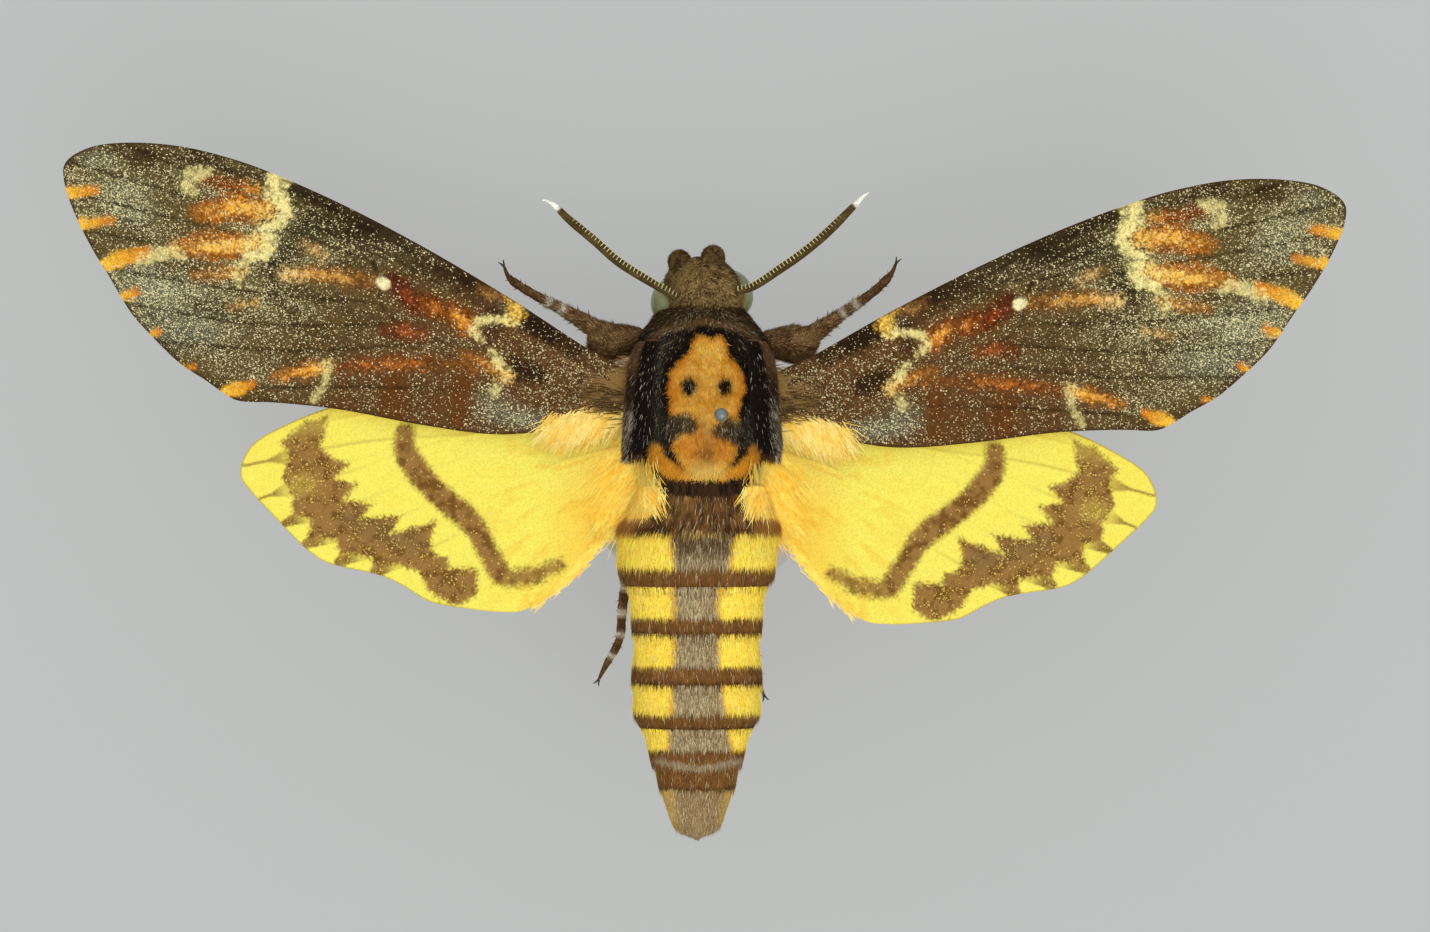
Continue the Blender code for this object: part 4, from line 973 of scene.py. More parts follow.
# %% Paint of the body
def thorax_layers(x, y, rough, fine):
    """Masks and paints of collar, flanks, skull and shoulders, and how many hairs are pale."""
    flank, collar = stroke(x, y, FLANKS, 0.85, 0.9, 0.6, rough), ease(y, 13.2, 14.4)
    stripe, strip = (
        np.maximum(*(stroke(x, y, line, widths, 0.5, fray, rough) for line, widths in pair))
        for pair, fray in ((SHOULDER_GAP_SHADE, 0.3), (GREY_STRIPS, 0.5))
    )
    depth = along_line(x, y, SKULL + SKULL[:1])[0]
    halo = 1 - ease(depth + 0.4 * (fine - 0.5), 0.5, 0.95)
    skull = inside(x, y, SKULL, 0.34, fine, 0.42)
    bone = between((204, 134, 34), (232, 176, 72), ease(0.5 * rough + 0.5 * fine, 0.35, 0.65))
    crescent = stroke(x, y, CRESCENT, CRESCENT_WIDTHS, 0.35, 0.35, fine)
    under = stroke(x, y, UNDER_BAND, UNDER_WIDTHS, 0.4, 0.4, rough)
    pale = (0.035 + 0.06 * flank + 0.02 * collar) * (1 - 0.9 * stripe) + 0.1 * strip
    pale = pale * (1 - 0.8 * halo)
    layers = [
        (0.75 * flank, (54, 50, 42)),
        (0.85 * collar, (60, 41, 22)),
        (0.6 * stroke(x, y, PALE_ARC, 0.3, 0.4, 0.3, fine), (110, 80, 48)),
        (0.7 * stroke(x, y, DARK_ARC, 0.25, 0.3, 0.3, fine), (30, 20, 12)),
        # painted shade in the gaps beside the shoulder covers
        (stripe, (17, 12, 9)),
        (0.4 * strip, (80, 70, 54)),
        (0.8 * ease(np.abs(x), 6.0, 7.0) * ease(y, 8.5, 10.5) * (1 - collar), (92, 66, 38)),
        (0.8 * halo * ease(y, 5.0, 7.0), (19, 13, 9)),
        (skull, bone),
        (0.75 * skull * (1 - ease(depth, 0.2, 0.7)) * ease(y, 5, 7), (196, 112, 24)),
        (0.5 * skull * patch(x, y, (-1.9, 10.6), (1.1, 0.7), 0.8, 0.6), (196, 120, 30)),
        (0.6 * skull * patch(x, y, (0.7, 12.0), (1.2, 1.0), 0.9), (246, 196, 84)),
        (0.7 * skull * patch(x, y, (0.3, 3.2), (2.9, 1.5), 0.5, 0, rough, 0.6), (206, 124, 36)),
        (0.6 * skull * patch(x, y, (0.4, 2.2), (0.9, 1.2), 0.8, 0, fine, 1.6), (96, 66, 34)),
    ]
    for centre, (wide, high) in EYE_HOLES:
        layers.append((0.6 * patch(x, y, centre, (wide * 1.5, high * 1.4), 0.5), (176, 116, 40)))
        layers.append((patch(x, y, centre, (wide, high), 0.3, 0, fine, 0.7), (30, 20, 10)))
    for centre, radii in CHEEKS:
        mask = patch(x, y, centre, radii, 0.35, 0.15, rough, 0.8)
        layers.append((0.95 * mask, (44, 38, 28)))
        pale = pale + 0.08 * mask
    layers += [(stroke(x, y, line, (0.3, 0.38, 0.25), 0.35, 0.4, fine), (36, 28, 18)) for line in JAWS]
    layers += [
        (0.5 * stroke(x, y, [(0.3, 5.4), (0.55, 3.6)], 0.3, 0.5, 0.4, fine), (170, 140, 80)),
        (crescent, (220, 148, 40)),
        (0.5 * crescent * ease(fine, 0.5, 0.7), (176, 106, 28)),
        (0.85 * patch(x, y, (0.4, 0.45), (1.5, 0.75), 0.7, 0, fine, 0.8), (230, 190, 96)),
        (0.95 * under, (34, 21, 11)),
    ]
    return layers, pale * (1 - 0.6 * under)


def waist_layers(x, y, rough, fine, pale):
    """Brown fur behind the thorax, with yellow hair at its sides."""
    waist = ease(-y, 1.35, 1.7)
    mottled = clouds(x * 1.6, y, 0.7, 43, 2)
    sides = waist * ease(np.abs(x + 0.4) + 1.6 * (rough - 0.5), 4.6, 6.4) * (1 - ease(-y, 5.1, 5.5))
    pale = pale * (1 - waist) + 0.05 * waist
    layers = [
        (waist, (90, 60, 30)),
        # Painted sheen: a lighter golden patch on the waist's dark hair
        (0.6 * waist * patch(x, y, (-1.6, -2.6), (2.2, 0.9), 0.8, 0, rough, 0.8), (112, 84, 40)),
        (0.6 * waist * ease(-y, 3.6, 5.0), (62, 38, 16)),
        (0.7 * waist * ease(mottled, 0.5, 0.7), (128, 90, 48)),
        (0.7 * waist * ease(1 - mottled, 0.52, 0.7), (50, 32, 16)),
        (0.8 * sides, (158, 106, 50)),
    ]
    for lobe in LOBES:
        mask = inside(x, y, lobe, 0.5, 0.5 * rough + 0.5 * fine, 1.6) * ease(-y, 0.2, 0.8)
        layers.append((mask, (255, 200, 84)))
        pale = pale * (1 - mask) + 0.15 * mask
    return layers, pale


def abdomen_layers(x, y, top, rough, fine, pale):
    """Yellow sides, a grey-brown stripe down the middle, dark rings and a brown tip."""
    belly = ease(-y, 5.25, 5.55)
    places, halves, middles = np.array(STRIPE).T
    half, middle = np.interp(-y, -places, halves), np.interp(-y, -places, middles)
    stripe = belly * top * (1 - ease(np.abs(x - middle) + 0.7 * (fine - 0.5), half - 0.25, half + 0.25))
    edge = stroke(x, y, np.column_stack([middles, places]), halves + 0.25, 0.3, 0.4, fine)
    layers = [
        (belly, (255, 213, 76)),
        (0.4 * belly * ease(rough, 0.45, 0.75), (255, 222, 100)),
        (stripe, (132, 110, 76)),
        (0.75 * stripe * (1 - ease(-y + 1.2 * rough, 7.2, 9.2)), (66, 44, 24)),
        (0.45 * np.clip(belly * top * edge - stripe, 0, 1), (160, 104, 40)),
    ]
    pale = np.where(stripe > 0.5, 0.14 + 0.46 * ease(-y + 1.6 * rough, 7.0, 9.4), pale)
    back = -y + 0.3 * (fine - 0.5)
    for front, rear in RINGS:
        ring = ease(back, -front - 0.15, -front + 0.15) * (1 - ease(back, -rear - 0.1, -rear + 0.1))
        ring = ring * (0.45 + 0.55 * top)
        tint = lay(
            between((88, 58, 27), (130, 88, 43), rough),
            (0.6 * (1 - ease(-y, -front, -front + 0.35)), (58, 35, 15)),
            (0.8 * ease(-y, -rear - 0.55, -rear - 0.2), (50, 29, 12)),
        )
        layers.append((ring, tint))
        pale = np.where(ring > 0.5, 0.05, pale)
    end = ease(-y, 29.3, 29.8)
    ragged = np.abs(x + 0.3) + 0.6 * (rough - 0.5)
    layers += [
        (0.8 * stroke(x, y, REAR_ARC, 0.28, 0.3, 0.3, fine) * top, (150, 138, 110)),
        (0.85 * end, (176, 140, 74)),
        (end * (1 - ease(ragged, 1.4, 3.0)), (136, 112, 76)),
        (0.6 * stroke(x, y, WAIST_LINE, 0.06, 0.08, 0.1, fine), (240, 212, 128)),
    ]
    return layers, np.where(end > 0.5, 0.22, pale)


def body_paint(x, y, top):
    """Colours of the coat seen from above, and how many hairs are pale. Top is how far a place faces up."""
    rough, fine, mottled = clouds(x, y, 0.8, 33), clouds(x, y, 0.28, 37, 2), clouds(x, y, 0.45, 41, 2)
    thorax, pale = thorax_layers(x, y, rough, fine)
    waist, pale = waist_layers(x, y, rough, fine, pale)
    abdomen, pale = abdomen_layers(x, y, top, rough, fine, pale)
    head = ease(y, 15.7, 16.5)
    colour = lay(
        evenly((33, 25, 17), len(x)), *thorax, *waist, *abdomen,
        (head, (84, 64, 36)),
        (0.8 * head * ease(mottled, 0.45, 0.7), (132, 108, 66)),
        (0.8 * head * ease(1 - mottled, 0.5, 0.7), (58, 40, 22)),
        (0.75 * (1 - top), between((150, 108, 54), (236, 190, 84), y <= -0.7)),
    )
    return colour, np.clip(np.where(head > 0.5, 0.3, pale), 0, 0.7)


print("the skull's brow:", body_paint(np.full(1, 0.3), np.full(1, 9.8), np.ones(1))[0][0].round(2))

# %% Skin of the body
def closed_net(net):
    """Points, triangles and corners' shares of a net whose last column lies on its first, with end caps."""
    rows, columns = net.shape[0], net.shape[1] - 1
    i, j = (side.ravel() for side in np.meshgrid(np.arange(rows - 1), np.arange(columns), indexing="ij"))
    corners = np.stack([(i, j), (i, j + 1), (i + 1, j + 1), (i, j), (i + 1, j + 1), (i + 1, j)])
    corners = corners.transpose(2, 0, 1).reshape(-1, 3, 2)
    flat = net[:, :-1].reshape(-1, 3)
    count, last = len(flat), len(flat) - columns
    ring = np.arange(columns)
    after = (ring + 1) % columns
    faces = np.vstack([
        corners[..., 0] * columns + corners[..., 1] % columns,
        np.column_stack([after, ring, np.full(columns, count)]),
        np.column_stack([ring + last, after + last, np.full(columns, count + 1)]),
    ])
    caps = np.repeat([(0.5, 0.0), (0.5, 1.0)], 3 * columns, axis=0).reshape(-1, 3, 2)
    shares = np.vstack([corners[..., ::-1] / (columns, rows - 1), caps])
    flat = np.vstack([flat, flat[:columns].mean(axis=0), flat[last:].mean(axis=0)])
    a, b, c = (flat - flat.mean(axis=0))[faces].transpose(1, 0, 2)
    outward = np.einsum("ij,ij->i", a, np.cross(b, c)).sum() > 0
    return (flat, faces, shares) if outward else (flat, faces[:, ::-1], shares[:, ::-1])


TRUNK_CHART = (0, 0, 0.5, 1)  # left, low, wide, high in the map for baking
charts = {(left, side): (left, 0.5 + 0.2 * side, 0.15, 0.15) for left in (0.55, 0.75) for side in (-1, 1)}
nets = [(trunk_net, TRUNK_CHART)] + [(palps[side], charts[0.55, side]) for side in (-1, 1)]
for side in (-1, 1):
    inner = cover_grid(side, -0.8)
    shell = np.concatenate([covers[side], inner[:, ::-1], covers[side][:, :1]], axis=1)
    nets.append((shell, charts[0.75, side]))
skin, start = [], 0
for net, (left, low, wide, high) in nets:
    flat, faces, shares = closed_net(net)
    skin.append((flat, faces + start, shares.reshape(-1, 2) * (wide, high) + (left, low)))
    start += len(flat)
skin_points, skin_triangles, skin_bake = (np.vstack(rows) for rows in zip(*skin))
skin_finish = scale_finish("skin", 0.8, 0.12, 0.35, FLECK_CREAM, 0.5)
skin_colour, _ = body_paint(skin_points[:, 0], skin_points[:, 1], ease(skin_points[:, 2], 19.0, 22.5))
make_piece(
    "body_skin", skin_points, skin_triangles, skin_finish,
    ("head", "palp_l", "palp_r", "collar", "thorax", "tegula_l", "tegula_r", "abdomen"),
    skin_colour, None, skin_bake,
)

# %% [markdown]
# ## Fur
# Moth fur is made of long, thin scales. Each tuft here is a three-sided spike that lies backwards along the
# body. On the head and thorax the tufts are short and stand up like velvet, on the abdomen they are longer
# and lie flat, and at the roots of the wings they are long and soft.


# %% Scatter places for tufts
DENSITY = 1.0


def scatter(net, count, seed, weight=None, centre=None):
    """Random places on a net: place, normal, the way along its rows, and the place in the net as shares."""
    rng = np.random.default_rng(seed)
    a, b, c, d = net[:-1, :-1], net[:-1, 1:], net[1:, 1:], net[1:, :-1]
    area = np.linalg.norm(np.cross(c - a, d - b), axis=-1)
    if weight is not None:
        area = area * weight((a + c) / 2)
    rows, columns = area.shape
    n = int(count * DENSITY)
    i, j = np.divmod(rng.choice(rows * columns, n, p=area.ravel() / area.sum()), columns)
    a, b, c, d = (corner[i, j] for corner in (a, b, c, d))
    s, t = rng.random(n)[:, None], rng.random(n)[:, None]
    place = (a * (1 - s) + d * s) * (1 - t) + (b * (1 - s) + c * s) * t
    lie = unit((d - a) + (c - b))
    normal = unit(np.cross((b - a) + (c - d), lie))
    middle = net.mean(axis=1)[i] if centre is None else centre(place)
    normal = normal * np.sign(np.einsum("ij,ij->i", normal, place - middle))[:, None]
    return place, normal, lie, np.column_stack([(j + t[:, 0]) / columns, (i + s[:, 0]) / rows])


def sown(route, spread, count, seed, stepped):
    """Random places near a line."""
    rng = np.random.default_rng(seed)
    n = int(count * DENSITY)
    line = smooth_curve(route, 60)
    at = rng.random(n) * 59
    low = at.astype(int)
    past = 0 if stepped else (line[np.minimum(low + 1, 59)] - line[low]) * (at - low)[:, None]
    return line[low] + past + rng.normal(0, 1, (n, 2)) * spread


print("fur density", DENSITY)

# %% Tufts
SKIN_SHARE = 0.97  # how far a tuft is shaded like the skin below it, so that fur reads as one soft surface
ROOT_DEPTH = 0.05
FLATNESS = 0.16
SPOT = 0.0013 * np.array([(-1, -0.8), (1, -0.8), (0, 1.0)])
TURNS = np.radians((90.0, 210.0, 330.0))
WHOLE_CHART = (0, 0, 1, 1)
TUFT_WIDTH = 0.12


def tufts(
    name, places, length, width, lift, colour, finish, slot, seed, sway, joints=1, chart=WHOLE_CHART, vary=0.2
):
    """Three-sided spikes on places from scatter. Length, width and lift are one value, or one for each."""
    roots, normals, lies, share = places
    rng = np.random.default_rng(seed)
    n = len(roots)
    length = np.broadcast_to(length, n) * rng.uniform(0.7, 1.25, n)
    width = np.broadcast_to(width, n) * rng.uniform(0.75, 1.3, n)
    lift = np.broadcast_to(lift, n) * rng.uniform(0.55, 1.35, n)
    swing = rng.normal(0, sway, n)[:, None]
    lies = lies * np.cos(swing) + np.cross(normals, lies) * np.sin(swing)
    heading = lies * np.cos(lift)[:, None] + normals * np.sin(lift)[:, None]
    aside = unit(np.cross(normals, heading))
    up = np.cross(heading, aside)
    rings = []
    centre = roots - normals * ROOT_DEPTH
    step = (length / joints)[:, None]
    for joint in range(joints):
        size = (width / 2 * (1 - 0.3 * joint))[:, None]
        rings += [centre + size * (aside * math.cos(a) + FLATNESS * up * math.sin(a)) for a in TURNS]
        centre = centre + heading * step
        heading = heading * 0.85 + lies * 0.15 - normals * 0.12 * (joints > 1)
    points = np.stack(rings + [centre], axis=1)
    sides = [(joint * 3 + k, joint * 3 + (k + 1) % 3) for joint in range(joints - 1) for k in range(3)]
    faces = [face for p, q in sides for face in ((p, q, q + 3), (p, q + 3, p + 3))]
    top = (joints - 1) * 3
    faces += [(top + k, top + (k + 1) % 3, top + 3) for k in range(3)]
    faces = np.array(faces)[None] + (np.arange(n) * (top + 4))[:, None, None]
    # Painted shade and light: each tuft is darker at its root, where the hairs shade one another, and lighter
    # at its tip
    shade = np.append(np.repeat([0.95 + 0.1 * joint / joints for joint in range(joints)], 3), 1.15)
    paint = colour[:, None] * rng.uniform(1 - vary, 1 + vary, n)[:, None, None] * shade[None, :, None]
    spots = np.concatenate([SPOT * (1 - 0.6 * joint / joints) for joint in range(joints)] + [[(0, 0)]])
    left, low, wide, high = chart
    bake = (share * (wide, high) * 0.99 + 0.005 + (left, low))[:, None] + spots[None]
    sides = np.stack([aside * math.cos(a) + up * math.sin(a) for a in TURNS] * joints + [up], axis=1)
    shading = unit(normals[:, None] * SKIN_SHARE + sides * (1 - SKIN_SHARE))
    make_piece(
        name, points.reshape(-1, 3), faces.reshape(-1, 3), finish,
        paint=paint.reshape(-1, 3), bake=bake.reshape(-1, 2), normals=shading.reshape(-1, 3),
    )


def fur_finish(name, roughness, painted_light_gain):
    """A finish that reads each tuft's own paint, makes it a little uneven, and brightens it as painted light.
    """
    made = new_finish(name, roughness, Specular_IOR_Level=0.05)
    tree = made.node_tree
    noise = add_node(tree, "ShaderNodeTexNoise", {"Scale": 2600, "Vector": object_place(tree)}).outputs["Fac"]
    vary = add_node(tree, "ShaderNodeMapRange", {"Value": noise, "To Min": 0.8 * painted_light_gain, "To Max": 1.2 * painted_light_gain})
    finish_with(made, {"Base Color": toned(tree, own_value(tree, "Paint")["Color"], vary.outputs["Result"])})
    return made


# Painted light: velvet is brightened by 1.12 and long fur by 1.3, for the light that hair lets through and
# the shade between hairs
velvet = fur_finish("velvet_fur", 0.75, 1.12)
long_fur = fur_finish("long_fur", 0.6, 1.3)
print("tufts start", ROOT_DEPTH, "mm below the skin")


# %% Coat of the trunk
def hair_colour(places, tops, seed):
    """One colour for each tuft, now and then a pale one."""
    rng = np.random.default_rng(seed)
    colour, pale = body_paint(places[:, 0], places[:, 1], tops)
    light = rng.random(len(places)) < pale
    tone = np.where(places[:, 1:2] > 15.7, srgb(204, 170, 108), srgb(190, 178, 140))
    return lay(colour, (rng.uniform(0.25, 0.9, len(places)) * light, tone))


def mostly_above(middles):
    return 0.35 + 0.65 * ease(middles[..., 2], 20, 24)


def trunk_coat(name, ends, count, length, lift, seed, finish, slot, sway, vary=0.2):
    """Coat between two stations. Length and lift are places down the body and the values there."""
    keep = (STATIONS <= ends[0]) & (STATIONS >= ends[1])
    start, end = np.flatnonzero(keep)[[0, -1]] / (len(STATIONS) - 1)
    place, normal, lie, share = scatter(trunk_net[keep], count, seed, mostly_above)
    normal = unit(normal * (1, 0.4, 1))
    lengths, lifts = (np.interp(-place[:, 1], *values) for values in (length, lift))
    seen = place + lie * (lengths * np.cos(lifts) * 0.6)[:, None]
    colour = hair_colour(seen, ease(normal[:, 2], -0.3, 0.15), seed + 1)
    colour = colour * (0.9 + 0.2 * clouds(place[:, 0] * 5, place[:, 1] * 0.8, 1.0, seed + 5, 2))[:, None]
    places = (place, normal, lie, share * (1, end - start) + (0, start))
    looks = (colour, finish, slot, seed + 2, sway, 1, TRUNK_CHART, vary)
    tufts(name, places, lengths, TUFT_WIDTH, lifts, *looks)


trunk_coat(
    "coat_head", (20.7, 16.2), 26000, ((-21, -16), (0.55, 0.75)), ((-21, -16), (0.45, 0.6)),
    100, velvet, "head_scales", 0.8, 0.42,
)
trunk_coat(
    "coat_collar", (16.4, 11.0), 36000, ((-17, -11), (0.6, 0.7)), ((-17, -11), (0.5, 0.5)),
    110, velvet, "thorax_scales", 0.4, 0.35,
)
trunk_coat(
    "coat_thorax", (11.2, -0.2), 62000, ((-11, -1.4, 0.2), (0.62, 0.8, 1.5)),
    ((-11, -1.4, 0.2), (0.5, 0.45, 0.2)), 120, velvet, "thorax_scales", 0.4,
)
trunk_coat(
    "coat_abdomen_front", (-0.7, -14.6), 30000, ((0, 3, 15), (1.5, 1.3, 1.1)), ((0, 5, 15), (0.14, 0.1, 0.1)),
    130, long_fur, "abdomen_scales", 0.16,
)
trunk_coat(
    "coat_abdomen_rear", (-14.4, -33.86), 34000, ((14, 30, 34), (1.05, 1.0, 1.1)), ((14, 34), (0.1, 0.1)),
    140, long_fur, "abdomen_scales", 0.16,
)


# %% Coat of the shoulder covers and palps
def axis_of_thorax(place):
    return place * (0, 1, 0) + (0, 0, 22.0)


def cover_colour(across, along, seed):
    """Dark brown fur, greyer and paler where the cover hangs over the wing, black along its inner edge."""
    hanging = ease(along, 0.42, 0.72) * (1 - ease(across, 0.4 + 0.25 * along, 0.62 + 0.25 * along))
    clumps = ease(clouds(across * 9, along * 5, 1.0, seed, 2), 0.42, 0.62)
    rng = np.random.default_rng(seed)
    n = len(across)
    pale = (rng.random(n) < 0.02 + hanging * (0.12 + 0.55 * clumps)) * rng.uniform(0.5, 1.0, n)
    return lay(
        evenly((46, 34, 23), n),
        (1 - ease(along, 0.1, 0.4), (92, 66, 40)),
        (0.8 * hanging, (84, 74, 56)),
        (ease(across, 0.5, 0.66) * (1 - 0.6 * hanging), (24, 17, 12)),
        (0.85 * (1 - ease(across, 0.1, 0.26)) * (1 - 0.6 * hanging), (108, 76, 44)),
        (0.8 * ease(along, 0.93, 0.99), (74, 50, 30)),
        (pale, (208, 198, 172)),
    )


for side, suffix in ((-1, "l"), (1, "r")):
    places = scatter(covers[side], 17000, 150 + side, None, axis_of_thorax)
    lengths = np.interp(-places[0][:, 1], (-13, -3), (0.7, 1.3))
    colour = cover_colour(*places[3].T, 160 + side)
    tufts(
        "coat_shoulder_" + suffix, places, lengths, TUFT_WIDTH, 0.25, colour, velvet, "thorax_scales",
        170 + side, 0.15, 1, charts[0.75, side],
    )
    places = scatter(palps[side], 7000, 180 + side)
    colour = 1.7 * hair_colour(places[0], np.ones(len(places[0])), 190 + side)
    tufts(
        "coat_palp_" + suffix, places, 0.4, 0.09, 0.6, colour, velvet, "head_scales", 200 + side, 0.8, 1,
        charts[0.55, side],
    )


# %% Long hair at the roots of the wings
LONG_HAIR_WIDTH = 0.1


def strands(across, along, seed, paint):
    """Long hair lies in strands of two screen colours."""
    return between(*paint, ease(clouds(across * 4, along * 0.5, 0.9, seed, 2), 0.3, 0.7))


def wing_hair(name, wing, route, spread, count, length, way, lift, paint, seed):
    """Soft hair that grows along a line on a wing, in the wing's own measures, and sweeps one way."""
    base = sown(route, spread, count, seed, False)
    roots, ahead = (np.column_stack(wing_place(wing, *(base + move).T)) for move in ((0, 0), way))
    lies = unit(ahead - roots)
    normals = np.tile((0.0, 0.0, 1.0), (len(base), 1))
    ahead = np.array(way) / np.hypot(*way)
    colour = strands(base @ (-ahead[1], ahead[0]), base @ ahead, seed, paint)
    places = (roots + (0, 0, MEMBRANE_HALF), normals, lies, np.clip(base / 60 + (0.1, 0.4), 0, 1))
    slot = wing.split("_")[0] + "_scales"
    tufts(name, places, length, LONG_HAIR_WIDTH, lift, colour, long_fur, slot, seed, 0.2, 2, vary=0.12)


GOLD = ((244, 182, 48), (246, 216, 98))
CREAM = ((236, 182, 66), (238, 214, 124))
BROWN = ((60, 44, 22), (134, 104, 58))
WING_HAIR = (
    ("hind_root_hair_", "hindwing_", [(-1.6, 1.2), (-1.0, -2.0), (-0.4, -6.2)],
     (0.9, 0.8), 3000, 3.0, (0.75, -0.8), 0.08, GOLD, 300),
    ("hind_edge_hair_", "hindwing_", [(-0.4, -6.4), (1.8, -9.8), (4.6, -12.8), (7.6, -15.0)],
     (0.2, 0.3), 900, 0.9, (0.8, -0.7), 0.1, GOLD, 305),
    ("fore_root_hair_", "forewing_", [(-2.4, -2.4), (0.0, -4.4), (2.6, -6.2)],
     (0.8, 0.5), 2400, 2.4, (0.35, -1.0), 0.1, CREAM, 310),
    ("fore_root_brown_", "forewing_", [(-3.4, 1.2), (-2.2, -0.6), (-0.8, -2.8)],
     (1.0, 0.6), 3000, 1.8, (1.0, -0.35), 0.14, BROWN, 320),
)
for side in "lr":
    for name, wing, *rest in WING_HAIR:
        wing_hair(name + side, wing + side, *rest)


# %% Long hair of the waist
def body_hair(name, route, spread, count, length, way, lift, paint, seed):
    """Hair that grows on the upper side of the body along a line seen from above, and sweeps one way."""
    base = sown(route, spread, count, seed, True)
    x, y = base.T
    edges = (trunk_net[..., 0].min(axis=1), trunk_net[..., 0].max(axis=1), trunk_net[..., 2].max(axis=1))
    low, high, top = (np.interp(-y, -STATIONS, edge) for edge in edges)
    out = np.clip((2 * x - low - high) / (high - low), -0.97, 0.97)
    up = (1 - np.abs(out) ** SQUARENESS) ** (1 / SQUARENESS)
    roots = np.column_stack([(low + high + out * (high - low)) / 2, y, 22.0 + (top - 22.0) * up + 0.3])
    normals = unit(np.column_stack([out**2 * np.sign(out), np.zeros(len(x)), up + 0.1]))
    lies = np.tile((*way, 0.0), (len(x), 1))
    lies = unit(lies - normals * np.einsum("ij,ij->i", normals, lies)[:, None])
    share = np.column_stack([0.25 + out * 0.2, (STATIONS[0] - y) / (STATIONS[0] - STATIONS[-1])])
    places = (roots, normals, lies, np.clip(share, 0, 1))
    looks = (strands(x, y, seed, paint), long_fur, "thorax_scales", seed, 0.25, 2, TRUNK_CHART)
    tufts(name, places, length, LONG_HAIR_WIDTH, lift, *looks)


WAIST_DARK, WAIST_GOLD = ((28, 18, 11), (62, 40, 22)), ((240, 186, 70), (244, 220, 120))
body_hair(
    "waist_hair_dark", [(-5.2, 0.3), (-3.0, -0.5), (0.2, -0.7), (3.2, -0.5), (5.4, 0.3)], (0.3, 0.22), 5000,
    1.3, (0, -1), 0.1, WAIST_DARK, 330,
)
body_hair(
    "waist_hair_l", [(-6.2, 1.2), (-5.7, 0.2), (-5.3, -0.8), (-5.2, -2.0)], (0.55, 0.5), 3600, 1.8,
    (0.4, -1), 0.28, WAIST_GOLD, 340,
)
body_hair(
    "waist_hair_r", [(6.4, 1.2), (5.9, 0.2), (5.4, -0.8), (5.3, -2.0)], (0.55, 0.5), 3600, 1.8,
    (-0.4, -1), 0.28, WAIST_GOLD, 350,
)

# %% [markdown]
# ## Eyes, feelers and tongue
# The eyes are domes of many thousand facets, and dull green in a dried moth. Each feeler is a thick, stiff
# rod with a comb of fine ridges along its front edge. The ridges are all one shape, so Geometry Nodes sets
# them along the rod, smaller towards its tip.


# %% Eyes
def egg_net(centre, radii):
    down = np.linspace(0.02, math.pi - 0.02, 60)[:, None]
    turn = np.linspace(0, 2 * math.pi, 81)[None]
    ball = (np.sin(down) * np.cos(turn), np.sin(down) * np.sin(turn), np.cos(down) * np.ones_like(turn))
    return np.stack(ball, -1) * radii + centre


def net_piece(name, net, finish, replaces=(), paint=None):
    """A closed piece from a net whose last column lies on its first, with a cap at each end."""
    flat, faces, _ = closed_net(net)
    make_piece(name, flat, faces, finish, replaces, paint(flat) if paint else None)


def eye_finish():
    coat = {"Coat_Weight": 0.3, "Coat_Roughness": 0.15}
    made = new_finish("eye_glass", 0.28, Base_Color=opaque((128, 138, 108)), **coat)
    tree = made.node_tree
    place = object_place(tree)
    facets = add_node(tree, "ShaderNodeTexVoronoi", {"Scale": 9000, "Vector": place}).outputs["Distance"]
    noise = add_node(tree, "ShaderNodeTexNoise", {"Scale": 500, "Vector": place}).outputs["Fac"]
    tone = two_tones(tree, noise, (0.35, 0.7), (94, 98, 52), (140, 144, 94))
    finish_with(made, {"Base Color": tone, "Normal": relief_of(tree, facets, 0.15, 0.00003)})
    return made


EYE_X, EYE_Y, EYE_Z = 2.72, 16.85, 21.5
EYE_RADII = (2.15, 2.4, 2.4)
glass = eye_finish()
for side, suffix in ((-1, "l"), (1, "r")):
    net = turn_head(egg_net((side * EYE_X, EYE_Y, EYE_Z), EYE_RADII))
    net_piece("eye_dome_" + suffix, net, glass, ("eye_" + suffix,))


# %% Horn, and rows of one part
def horn_finish(name, roughness, dark, light):
    """Horn or bristle with fine, uneven colour."""
    made = new_finish(name, roughness, Base_Color=opaque(dark))
    tree = made.node_tree
    noise = add_node(tree, "ShaderNodeTexNoise", {"Scale": 900, "Detail": 6, "Vector": object_place(tree)})
    finish_with(made, {"Base Color": two_tones(tree, noise.outputs["Fac"], (0.3, 0.72), dark, light)})
    return made


